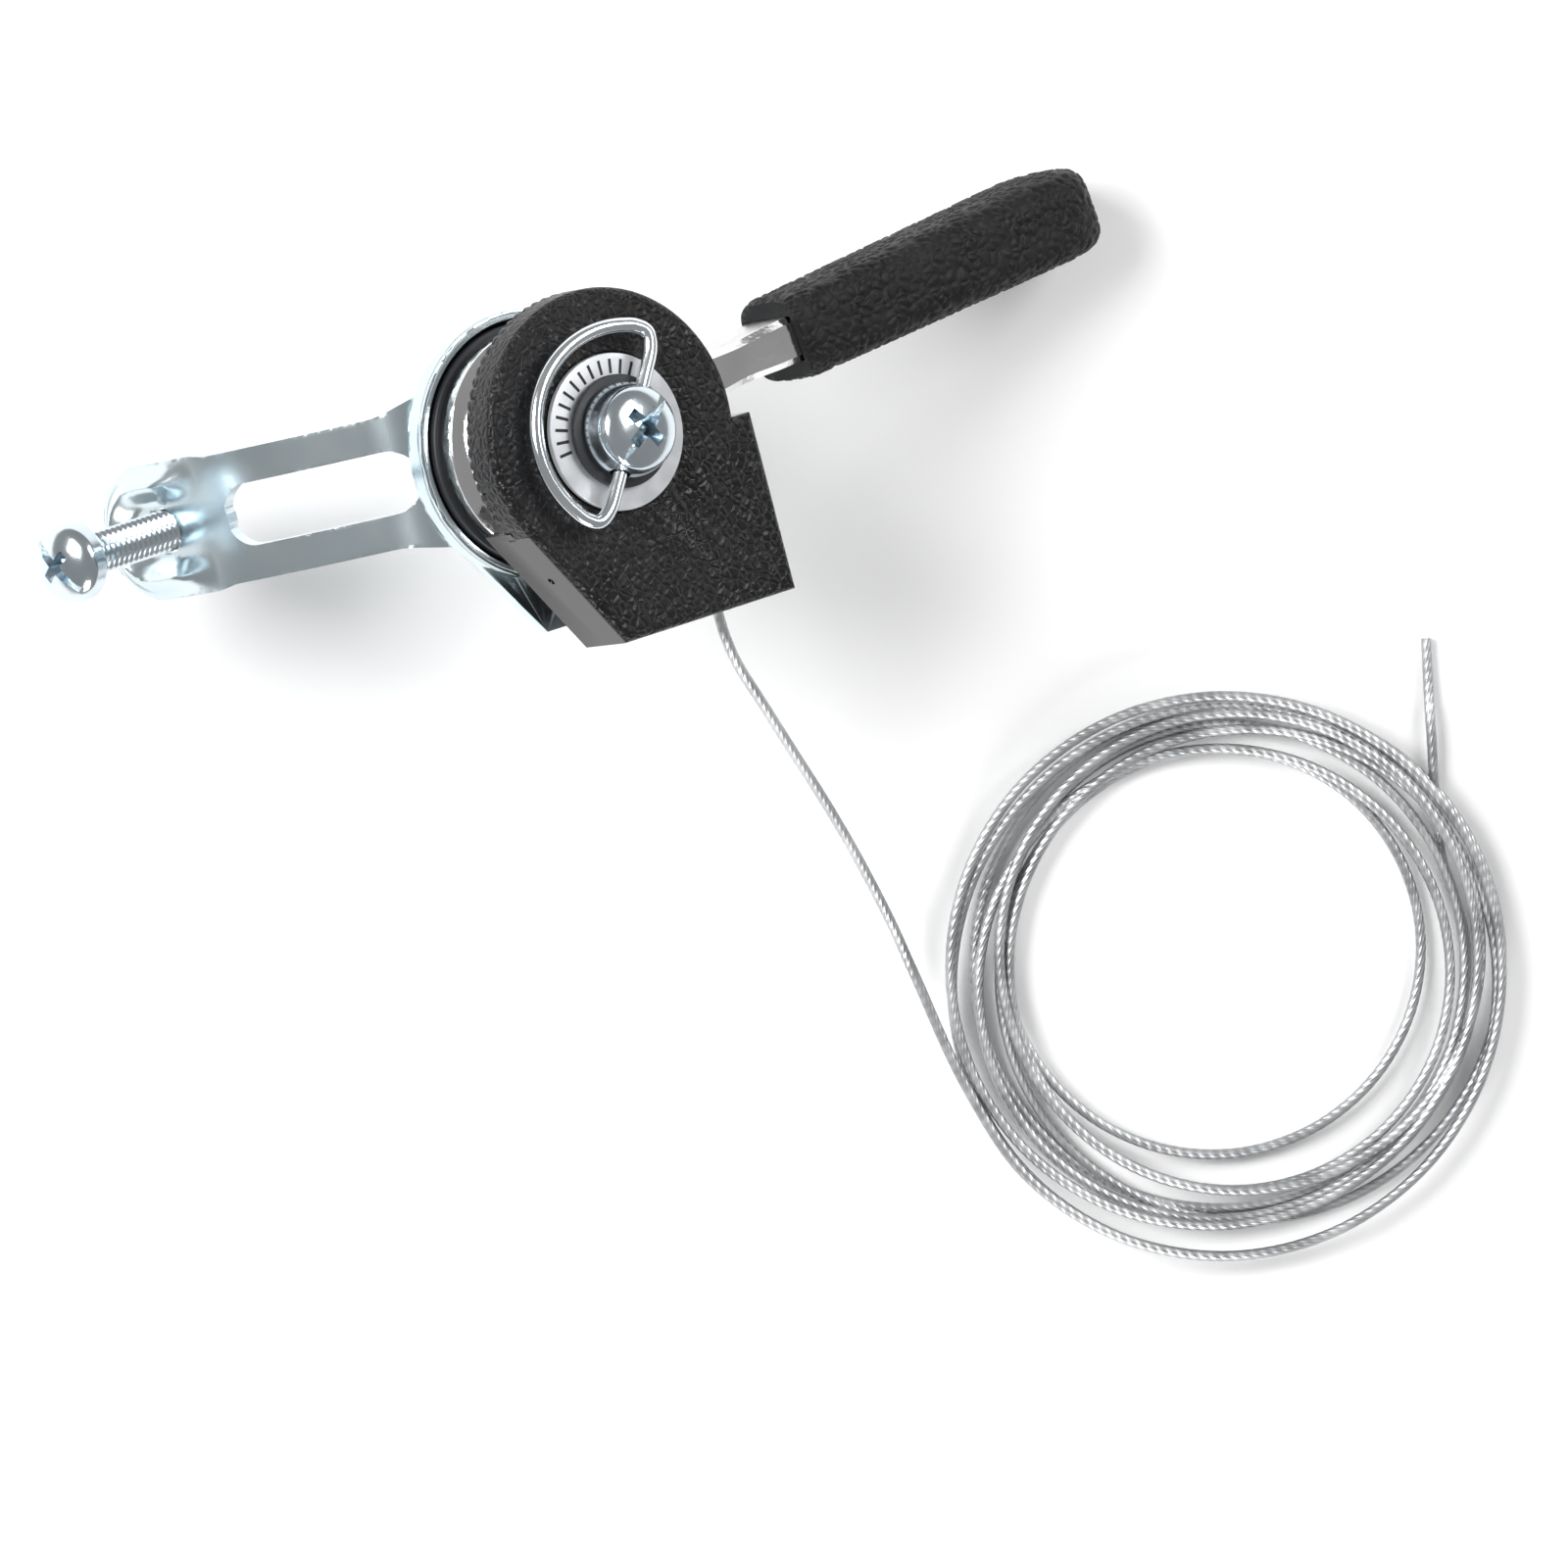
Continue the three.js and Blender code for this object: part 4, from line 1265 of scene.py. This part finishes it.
@dataclass
class CableNipple:
    """The barrel on the cable's end, seated in the lever's boss."""

    radius: float = 2.1
    wire_radius: float = 0.6
    orbit: float = 12.4
    groove_z: float = 21.5

    def build(self) -> None:
        """Makes the nipple."""
        r = self.radius
        barrel = Shape.lathe([
            (self.wire_radius, -0.3), (self.wire_radius, 2.0), (r - 0.3, 2.0), (r, 2.3), (r, 5.3),
            (r - 0.3, 5.58), (r * 0.45, 5.6), (r * 0.2, 5.35), (0, 5.3),
        ], "cable_barrel", 56)
        place = Matrix.Translation((self.orbit, 0, self.groove_z)) @ Matrix.Rotation(-math.pi / 2, 4, "X")
        Shape.smooth(barrel, 35.0)
        Shape.settle(barrel, MECHANISM.lever_to_row @ place, "lever", INNER_STEEL, ["cable_nipple"])


@dataclass
class LeverGrip:
    """The moulded rubber handle, hollow for the tang, with a leather grain in its skin."""

    start: float = 30.6
    end: float = 74.6
    centre_z: float = 22.4
    half_height: tuple[float, float] = (6.0, 7.70)
    half_thickness: tuple[float, float] = (5.0, 5.35)
    sides: int = 232
    stations: int = 236
    grain: float = 1.25
    grain_depth: float = 0.2
    grain_seed: int = 7
    nose_from: float = 0.84
    mouth: float = 1.4
    gap: float = 0.06
    tang_end: float = 62.0
    tang_half: tuple[float, float] = (1.6, 3.0)
    arm_half: tuple[float, float] = (2.6, 4.2)

    def outline(self, share: float, angle: float) -> tuple[float, float]:
        """Gives the skin's (y, z) from the centre line, before its grain.

        Args:
            share: The share of the way from the hub to the tip.
            angle: The direction round the centre line.

        Returns:
            The point.
        """
        spread = 1 - (1 - min(1.0, share / 0.04)) ** 2 * 0.10
        nose = 1.0
        if share > self.nose_from:
            gone = (share - self.nose_from) / (1 - self.nose_from)
            nose = 0.45 + 0.55 * math.sqrt(max(1 - gone ** 2.6, 0.0))
        cosine, sine = math.cos(angle), math.sin(angle)
        square = min(1.3, (abs(cosine) ** 4 + abs(sine) ** 4) ** -0.25)
        high = self.half_height[0] + (self.half_height[1] - self.half_height[0]) * share
        thick = self.half_thickness[0] + (self.half_thickness[1] - self.half_thickness[0]) * share
        return -square * cosine * thick * math.sqrt(nose) * spread, square * sine * high * nose * spread

    def grained(self, point: Vector) -> float:
        """Gives how deep the grain lies at a point: 0 on a cell, more in the creases between.

        Args:
            point: The point on the skin.

        Returns:
            The depth.
        """
        place = point / self.grain
        place = place + noise.noise_vector(place * 0.8) * 0.3
        spans, _ = noise.voronoi(place)
        return self.grain_depth * (1 - blend_to(0.02, 0.34, spans[1] - spans[0]))

    def skin_loop(self, share: float, angles: Sequence[float], grained: bool) -> list[Point]:
        """Gives one ring of the skin.

        Args:
            share: The share of the way from the hub to the tip.
            angles: The directions round the centre line.
            grained: True if the ring has its grain.

        Returns:
            The ring.
        """
        x = self.start + share * (self.end - self.start)
        loop = []
        for angle in angles:
            y, z = self.outline(share, angle)
            if grained:
                spot = Vector((x, y, z))
                deep = self.grained(spot) + 0.07 * math.exp(-(min(abs(math.sin(angle)), 1.0) / 0.035) ** 2)
                reach = math.hypot(y, z)
                y, z = y * (1 - deep / reach), z * (1 - deep / reach)
            loop.append((x, y, self.centre_z + z))
        return loop

    def room_loop(self, x: float, half_y: float, half_z: float, angles: Sequence[float]) -> list[Point]:
        """Gives one ring of the hollow: a box's outline, met along the skin's directions.

        Args:
            x: The ring's place along the grip.
            half_y: Half the box's thickness.
            half_z: Half the box's height.
            angles: The directions round the centre line.

        Returns:
            The ring.
        """
        loop = []
        for angle in angles:
            y, z = -math.cos(angle), math.sin(angle)
            reach = min(half_y / max(abs(y), 1e-6), half_z / max(abs(z), 1e-6))
            loop.append((x, y * reach, self.centre_z + z * reach))
        return loop

    def build(self) -> None:
        """Makes the grip."""
        noise.seed_set(self.grain_seed)
        angles = [2 * math.pi * i / self.sides for i in range(self.sides)]
        tang = [half + self.gap for half in self.tang_half]
        arm = [half + self.gap for half in self.arm_half]
        loops = [
            self.room_loop(self.tang_end + self.gap, *tang, angles),
            self.room_loop(self.start + self.mouth, *tang, angles),
            self.room_loop(self.start + self.mouth, *arm, angles),
            self.room_loop(self.start, *arm, angles),
            [self._toward(point, 0.85) for point in self.skin_loop(0.0, angles, False)],
        ]
        for i in range(self.stations + 1):
            loops.append(self.skin_loop(i / self.stations, angles, 0 < i < self.stations))
        for scale in (0.93, 0.8, 0.55, 0.25):
            loops.append([self._toward(point, scale) for point in self.skin_loop(1.0, angles, False)])
        grip = Shape.smooth(Shape.rings(loops, "rubber_grip"), 60.0)
        Shape.settle(grip, MECHANISM.lever_to_row, "lever", RUBBER, ["lever_grip"])

    def _toward(self, point: Point, scale: float) -> Point:
        """Draws a skin point in towards the centre line."""
        return point[0], point[1] * scale, self.centre_z + (point[2] - self.centre_z) * scale


# ---------------------------------------------------------------- cover
@dataclass
class Cover:
    """The moulded cover: a round shell over the drum with the cable block on one side."""

    radius: float = 15.88
    top: float = 32.6
    skirt: float = 27.5
    wall: float = 1.5
    block_bottom: float = 23.9
    block_x: float = 18.2
    block_y: float = -22.4
    corner_x: float = -4.9
    shoulder_y: float = -2.3
    slant_overrun: float = 0.8
    rounding: float = 0.9
    tooth_pitch: float = 1.35
    tooth_depth: float = 0.35
    toothed_top: float = 29.2
    roof: float = 2.4
    boss: tuple[float, float] = (6.4, 28.9)
    bore_radius: float = 3.0
    cable_way: tuple[float, float] = (11.9, 14.5)
    cable_way_top: float = 25.2
    pinhole: Point = (-10.2, -13.9, 28.6)
    pinhole_radius: float = 0.45
    dial_seat: tuple[float, float] = (8.9, 32.2)
    counts: tuple[int, ...] = (30, 6, 440, 30, 30)

    def outline(self, inset: float) -> list[tuple[float, float, bool]]:
        """Gives the cover's line at an inset.

        Args:
            inset: How far inside the outer line.

        Returns:
            The points, each with True if it lies on the round part.
        """
        radius = self.radius - inset
        corner = Vector((self.corner_x, self.block_y))
        reach = corner.length
        corner_angle = math.atan2(corner.y, corner.x) % (2 * math.pi)
        tangent = corner_angle - math.acos(self.radius / reach)
        start = math.asin((self.shoulder_y - inset) / radius)
        slope = math.tan((corner_angle - tangent + math.pi / 2 - math.acos(self.radius / reach)) / 4) * inset
        a = (self.block_x - inset, self.block_y + inset)
        b = (self.block_x - inset, self.shoulder_y - inset)
        c = (math.cos(start) * radius, self.shoulder_y - inset)
        d = (math.cos(tangent) * radius, math.sin(tangent) * radius)
        e = (self.corner_x + slope + inset * 0.3, self.block_y + inset)
        points = self._run(a, b, self.counts[0]) + self._run(b, c, self.counts[1])
        for i in range(self.counts[2]):
            angle = start + (tangent - start) * i / self.counts[2]
            points.append((math.cos(angle) * radius, math.sin(angle) * radius, True))
        return points + self._run(d, e, self.counts[3]) + self._run(e, a, self.counts[4])

    @staticmethod
    def _run(a: tuple[float, float], b: tuple[float, float], count: int) -> list[tuple[float, float, bool]]:
        """Gives a straight stretch of the line, its end left out."""
        return [(a[0] + (b[0] - a[0]) * i / count, a[1] + (b[1] - a[1]) * i / count, False)
                for i in range(count)]

    def ring(self, inset: float, height: float, toothed: float = 0.0) -> list[Point]:
        """Gives one ring of the outer wall; its round part may be cut into teeth.

        Args:
            inset: How far inside the outer line.
            height: The ring's height.
            toothed: How deep the teeth are, from 0 to 1.

        Returns:
            The ring.
        """
        loop = []
        for x, y, is_round in self.outline(inset):
            scale = 1.0
            if is_round and toothed:
                angle = math.atan2(y, x)
                wave = abs(math.sin(math.pi * angle * self.radius / self.tooth_pitch))
                scale -= toothed * self.tooth_depth * (1 - math.sqrt(wave)) / self.radius
            loop.append((x * scale, y * scale, height))
        return loop

    @property
    def slant_top(self) -> Vector:
        """The upper end of the slanted wall, on the tangent from the block's corner to the round part.

        Returns:
            The point.
        """
        corner = Vector((self.corner_x, self.block_y))
        angle = math.atan2(corner.y, corner.x) % (2 * math.pi) - math.acos(self.radius / corner.length)
        touch = Vector((math.cos(angle), math.sin(angle))) * self.radius
        return touch + (touch - corner).normalized() * self.slant_overrun

    def block_outline(self, inset: float) -> list[tuple[float, float]]:
        """Gives the line of the part of the block that reaches down beside the drum.

        Args:
            inset: How far inside the outer line.

        Returns:
            The line's corners.
        """
        top = self.slant_top
        return [
            (self.block_x - inset, self.shoulder_y + (8 if inset > 0 else 0)),
            (top.x + inset * 1.2, 8 if inset > 0 else top.y),
            (top.x + inset * 1.2, top.y + inset * 0.4),
            (self.corner_x + inset * 0.6, self.block_y + inset),
            (self.block_x - inset, self.block_y + inset),
        ]

    def _shell(self) -> bpy.types.Object:
        """Makes the outer body of the round part and the block's upper half.

        Returns:
            The body.
        """
        loops = [self.ring(0.25, self.skirt, 1.0), self.ring(0.0, self.skirt + 0.25, 1.0)]
        steps = 6
        for i in range(1, steps + 1):
            share = i / steps
            height = self.skirt + 0.25 + (self.toothed_top - self.skirt) * share
            loops.append(self.ring(0.0, height, (1 - share) ** 0.5))
        for i in range(7):
            angle = math.pi / 2 * i / 6
            inset = self.rounding * (1 - math.cos(angle))
            loops.append(self.ring(inset, self.top - self.rounding * (1 - math.sin(angle))))
        return Shape.rings(loops, "moulded_cover")

    def build(self) -> None:
        """Makes the cover."""
        cover = self._shell()
        deep = Shape.plate(self.block_outline(0), self.block_bottom, self.skirt + 1.5, "deep")
        Shape.combine(cover, [deep], "UNION")
        inner = [(x, y) for x, y, _ in self.outline(self.wall)][::3]
        hollow = Shape.plate(inner, self.skirt - 1, self.top - self.roof, "hollow")
        well = Shape.plate(self.block_outline(self.wall), self.block_bottom - 1, self.top - self.roof, "well")
        room = Shape.lathe([(self.radius - self.wall, self.block_bottom - 1),
                            (self.radius - self.wall, self.skirt + 0.6)], "room", 128)
        Shape.combine(cover, [hollow, well, room], "DIFFERENCE")
        boss = Shape.lathe([self.boss, (self.boss[0], self.top - 2)], "boss", 72)
        Shape.combine(cover, [boss], "UNION")
        bore = Shape.lathe([(self.bore_radius, 20), (self.bore_radius, 40)], "bore", 48)
        seat = Shape.lathe([(self.dial_seat[0], self.dial_seat[1]), (self.dial_seat[0], 40)], "seat", 120)
        cable_way = Shape.block((self.cable_way[0], self.block_y - 1, 20),
                                (self.cable_way[1], self.block_y + 3, self.cable_way_top))
        Shape.combine(cover, [bore, seat, cable_way, self._pinhole()], "DIFFERENCE")
        Shape.soften(cover, 0.2, 42.0, 2)
        cover.data.materials.append(PEBBLE.material())
        cover.data.materials.append(GLOSS.material())
        for polygon in cover.data.polygons:
            x, y, z = polygon.center
            flank = abs(polygon.normal.z) < 0.35 and (y < self.slant_top.y - 0.8 or x > self.radius + 0.2)
            if flank or z < self.skirt - 0.3:
                polygon.material_index = 1
        Shape.settle(cover, MECHANISM.to_row, "frame", PEBBLE, ["cover"])

    def _pinhole(self) -> bpy.types.Object:
        """Makes the small hole's cutter in the slanted wall.

        Returns:
            The cutter.
        """
        hole = Shape.lathe([(self.pinhole_radius, -1.2), (self.pinhole_radius, 2)], "pinhole", 24)
        way = Vector((-14.8, -9.2, 0)).normalized()
        turn = way.to_track_quat("Z", "Y").to_matrix().to_4x4()
        hole.data.transform(Matrix.Translation(self.pinhole) @ turn)
        return hole


# ---------------------------------------------------------------- tension screw and bail
@dataclass
class TensionScrew:
    """The screw that sets the friction, with a domed head and a collar that holds the bail."""

    head_radius: float = 5.3
    head_z: float = 34.7
    head_height: float = 4.5
    low: float = 19.4
    shank_radius: float = 2.3
    thread_top: float = 28.0
    neck_z: float = 28.6
    notch_gap: float = 0.3
    bail_z: float = 36.0
    bail_end: float = 3.9
    wire_radius: float = 0.85
    bail_angle: float = math.radians(56.3)

    def build(self) -> None:
        """Makes the screw."""
        r, z = self.head_radius, self.head_z
        crown = r - 0.62
        head = [(self.shank_radius, self.neck_z), (self.shank_radius, z - 0.02), (r - 0.3, z),
                (r - 0.06, z + 0.1), (r, z + 0.3), (r - 0.04, z + 0.9), (r - 0.16, z + 1.6),
                (r - 0.36, z + 2.3), (crown, z + 2.8)]
        steps = 16
        for i in range(1, steps):
            angle = math.pi / 2 * i / steps
            height = z + 2.8 + (self.head_height - 2.8) * math.sin(angle)
            head.append((crown * math.cos(angle) ** 0.8, height))
        head.append((0.05, z + self.head_height))
        thread = Thread(self.shank_radius, sides=64)
        screw = thread.capped(self.low, self.thread_top, head, "tension_screw_body")
        gap = self.notch_gap
        notches = []
        for side in (-1, 1):
            low, high = sorted((side * (self.bail_end - gap), side * 8))
            notch = Shape.lathe([(self.wire_radius + gap, low), (self.wire_radius + gap, high)], "notch", 32)
            lay = Matrix.Rotation(self.bail_angle, 4, "Z") @ Matrix.Rotation(math.pi / 2, 4, "Y")
            notch.data.transform(Matrix.Translation((0, 0, self.bail_z)) @ lay)
            notches.append(notch)
        recess = DriveRecess(r, z + self.head_height, math.radians(35)).cutters()
        Shape.combine(screw, [*notches, *recess], "DIFFERENCE")
        Shape.soften(screw, 0.1, 46.0, 2)
        Shape.settle(screw, MECHANISM.to_row, "tension_screw", SCREW_ZINC, ["tension_screw"])


@dataclass
class Bail:
    """The folding wire bow that turns the tension screw by hand."""

    radius: float = 11.4
    wire_radius: float = 0.82
    height: float = 35.97
    droop: float = math.radians(7)
    angle: float = math.radians(56.3)
    end: float = 3.9
    corner: float = 2.2

    def knots(self) -> list[Vector]:
        """Gives the bow's knots in its own flat frame, the pivot line along X.

        Returns:
            The knots.
        """
        rise = math.sqrt(self.radius ** 2 - (self.radius - self.corner) ** 2) * 0.55
        lead = [(self.end, 0.0), (self.end + 2.4, 0.0), (self.radius - self.corner, 0.1),
                (self.radius - 0.5, 0.9)]
        spread = 0.22
        bow = [spread + (math.pi - 2 * spread) * i / 20 for i in range(21)]
        ring = [(self.radius * math.cos(a), self.radius * math.sin(a)) for a in bow]
        joint = (ring[0][0], max(ring[0][1], rise * 0.6))
        points = [*lead, joint, *ring[1:-1], (-joint[0], joint[1]), *[(-x, y) for x, y in reversed(lead)]]
        return [Vector((x, y, 0)) for x, y in points]

    def build(self) -> None:
        """Makes the bail."""
        path = curve_points(self.knots(), 0.28)
        last = len(path) - 1

        def section(step: int) -> list[tuple[float, float]]:
            """Gives the wire's section, drawn in at both ends.

            Args:
                step: The step of the path.

            Returns:
                The section's points.
            """
            near = min(step, last - step)
            radius = self.wire_radius * (0.62, 0.93, 1.0)[min(near, 2)]
            return [(radius * math.cos(2 * math.pi * i / 20), radius * math.sin(2 * math.pi * i / 20))
                    for i in range(20)]

        bow = Shape.smooth(Shape.sweep(path, section, "wire_bail"), 50.0)
        place = Matrix.Translation((0, 0, self.height)) @ Matrix.Rotation(self.angle, 4, "Z")
        place = place @ Matrix.Rotation(-self.droop, 4, "X")
        Shape.settle(bow, MECHANISM.to_row @ place, "bail", BAIL_WIRE, ["bail_ring"])


@dataclass(frozen=True)
class KeptPieces:
    """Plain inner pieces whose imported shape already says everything; they only get a finish."""

    finishes: tuple[tuple[str, Finish], ...]

    def build(self) -> None:
        """Dresses the pieces."""
        for node, finish in self.finishes:
            finish.dress(frame["nodes"][node])
            LOG.info("dressed %s", node)


# ---------------------------------------------------------------- cable
@dataclass
class Wire:
    """Stranded wire: round outer strands laid in a helix, as real relief."""

    radius: float = 0.6
    strands: int = 9
    lay_length: float = 11.0
    depth: float = 0.11
    step: float = 0.42

    def section(self, travelled: float) -> list[tuple[float, float]]:
        """Gives the wire's section, in metres, at a distance along it.

        Args:
            travelled: The distance along the wire in metres.

        Returns:
            The section's points.
        """
        twist = 2 * math.pi * travelled / (self.lay_length * MM)
        count = self.strands * 3
        points = []
        for i in range(count):
            angle = 2 * math.pi * i / count
            groove = abs(math.sin(self.strands * angle / 2))
            radius = (self.radius - self.depth * (1 - groove)) * MM
            points.append((radius * math.cos(angle + twist), radius * math.sin(angle + twist)))
        return points

    def along(self, path: Sequence[Vector], name: str) -> bpy.types.Object:
        """Lays the wire along a path in the row frame.

        Args:
            path: The path's points in metres.
            name: The piece's name.

        Returns:
            The wire.
        """
        walked = [0.0]
        for a, b in zip(path, path[1:]):
            walked.append(walked[-1] + (b - a).length)
        return Shape.smooth(Shape.sweep(path, lambda i: self.section(walked[i]), name), 75.0)


def curve_points(knots: Sequence[Vector], step: float) -> list[Vector]:
    """Walks a smooth curve through knots at an even step.

    Args:
        knots: The points that the curve passes through.
        step: The distance between the points that come back, in the knots' units.

    Returns:
        The points, the first and last knots among them.
    """
    padded = [knots[0] * 2 - knots[1], *knots, knots[-1] * 2 - knots[-2]]
    fine = []
    for a, b, c, d in zip(padded, padded[1:], padded[2:], padded[3:]):
        pieces = max(4, int((c - b).length / step * 2))
        for i in range(pieces):
            t = i / pieces
            fine.append(0.5 * (2 * b + (c - a) * t + (2 * a - 5 * b + 4 * c - d) * t * t
                               + (3 * b - 3 * c + d - a) * t ** 3))
    fine.append(knots[-1].copy())
    total = sum((b - a).length for a, b in zip(fine, fine[1:]))
    count = max(2, round(total / step))
    gap = total / count
    points, walked, index = [fine[0]], 0.0, 0
    for k in range(1, count):
        goal = k * gap
        while walked + (fine[index + 1] - fine[index]).length < goal:
            walked += (fine[index + 1] - fine[index]).length
            index += 1
        span = (fine[index + 1] - fine[index]).length
        points.append(fine[index].lerp(fine[index + 1], (goal - walked) / span))
    points.append(fine[-1])
    return points


@dataclass
class FreeCable:
    """The loose inner wire: down from the cable block, round in open turns, and out to a bare end."""

    wire: Wire = field(default_factory=Wire)
    lead: tuple[Point, ...] = (
        (9.06, -19.7, 37.2), (9.2, -22.6, 36.7), (9.9, -26.4, 34.9), (11.6, -31.6, 31.4), (13.6, -37.8, 26.6),
        (15.7, -44.2, 21.4), (17.6, -50.6, 16.2), (19.2, -56.8, 11.5), (20.5, -62.6, 7.9), (21.6, -68.8, 5.0),
    )
    tail: tuple[Point, ...] = (
        (86.4, -57.0, 1.5), (87.1, -53.6, 1.0), (87.8, -50.2, 0.75), (88.5, -46.8, 0.68),
    )
    turns: int = 8
    points_per_turn: int = 16
    swing: tuple[float, ...] = (33.2, 30.6, 27.2, 32.4, 24.4, 29.4, 22.4, 31.2, 27.4)
    drift: tuple[Point, ...] = (
        (0.3, -0.6, 0), (-1.2, 0.9, 0), (1.6, 1.2, 0), (-0.4, -1.0, 0), (1.0, -1.6, 0),
        (-1.6, 0.4, 0), (0.6, 1.6, 0), (0.8, -0.6, 0), (0.6, 0.6, 0),
    )
    layer: float = 1.25

    def coil_knots(self, centre: Vector, start: float, stop: float) -> list[Vector]:
        """Works out the coil's turns.

        Args:
            centre: The coil's middle on the table, in millimetres.
            start: The direction of the first knot from the middle, in radians.
            stop: The direction of the last one; the turns between are added to it.

        Returns:
            The knots.
        """
        sweep = (stop - start) % (2 * math.pi) + 2 * math.pi * self.turns
        count = round(sweep / (2 * math.pi) * self.points_per_turn)
        knots = []
        for i in range(1, count):
            along = i / count * self.turns
            index = min(int(along), self.turns - 1)
            share = blend_to(0.0, 1.0, along - index)
            radius = self.swing[index] * (1 - share) + self.swing[index + 1] * share
            shift = Vector(self.drift[index]).lerp(Vector(self.drift[index + 1]), share)
            angle = start + sweep * i / count
            height = 0.66 + self.layer * self.stack(i / count)
            middle = centre + shift
            knots.append(Vector((middle.x + radius * math.cos(angle),
                                 middle.y + radius * math.sin(angle), height)))
        return knots

    @staticmethod
    def stack(share: float) -> float:
        """Gives how many layers up the wire lies at a share of the way: it arrives on top and works down."""
        landed = blend_to(0.0, 0.06, share)
        return 2.6 * (1 - share) * landed + 0.9 * (1 - landed) * 3

    def build(self) -> bpy.types.Object:
        """Returns:
            The cable.
        """
        low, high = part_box("cable_coil")
        centre = (low + high) / (2 * MM)
        centre.z = 0.0
        first = Vector(self.lead[-1]) - centre
        last = Vector(self.tail[0]) - centre
        start = math.atan2(first.y, first.x)
        stop = math.atan2(last.y, last.x)
        knots = [Vector(p) for p in self.lead]
        knots += self.coil_knots(centre, start, stop)
        knots += [Vector(p) for p in self.tail]
        path = [point * MM for point in curve_points(knots, self.wire.step)]
        cable = self.wire.along(path, "free_cable")
        CABLE_STEEL.dress(cable)
        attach(cable, "frame")
        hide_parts("cable_lead", "cable_coil", "cable_tail")
        return cable


@dataclass
class HeldCable:
    """The stretch of wire between the drum and the cable block's end wall."""

    wire: Wire = field(default_factory=Wire)
    route: tuple[Point, ...] = ((12.4, -0.9, 21.5), (12.5, -6, 21.9), (12.9, -15, 22.9), (13.2, -22.8, 23.4))

    def build(self) -> None:
        """Makes the stretch."""
        knots = [MECHANISM.point(*point) / MM for point in self.route]
        path = [point * MM for point in curve_points(knots, self.wire.step)]
        stretch = self.wire.along(path, "held_cable")
        Shape.settle(stretch, Matrix.Identity(4), "frame", CABLE_STEEL, ["cable_run"])


def main() -> None:
    """Builds the shifter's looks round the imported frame, piece by piece."""
    logging.basicConfig(level=logging.INFO, format="%(message)s")
    dial_low, dial_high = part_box("dial_plate")
    Camera().build((dial_low + dial_high) / 2)
    FreeCable().build()
    HeldCable().build()
    band = ClampBand()
    for part in (
        band,
        ClampScrew(band),
        BasePlate(),
        TurnedRing("nylon_base_ring", "base_ring", NYLON, 13.5, 6.3, 15.0, 17.4, 0.3),
        LeverDrum(),
        CableNipple(),
        LeverGrip(),
        Cover(),
        TurnedRing("printed_dial", "dial_plate", DIAL_METAL, 8.6, 3.2, 32.5, 33.2, 0.12),
        DialTicks(),
        TurnedRing("collar_seal", "seal_ring", NYLON, 6.2, 2.7, 33.5, 34.4, 0.2),
        TensionScrew(),
        Bail(),
        KeptPieces((
            ("pivot_stud", INNER_STEEL), ("keyed_washer_lower", INNER_STEEL),
            ("keyed_washer_upper", INNER_STEEL), ("spring_washer", INNER_STEEL),
            ("friction_disc_lower", FIBRE), ("friction_disc_upper", FIBRE),
        )),
    ):
        part.build()
    low, high = CAD_BOUNDS
    Studio().build((low + high) / 2)


if __name__ == "__main__":
    main()
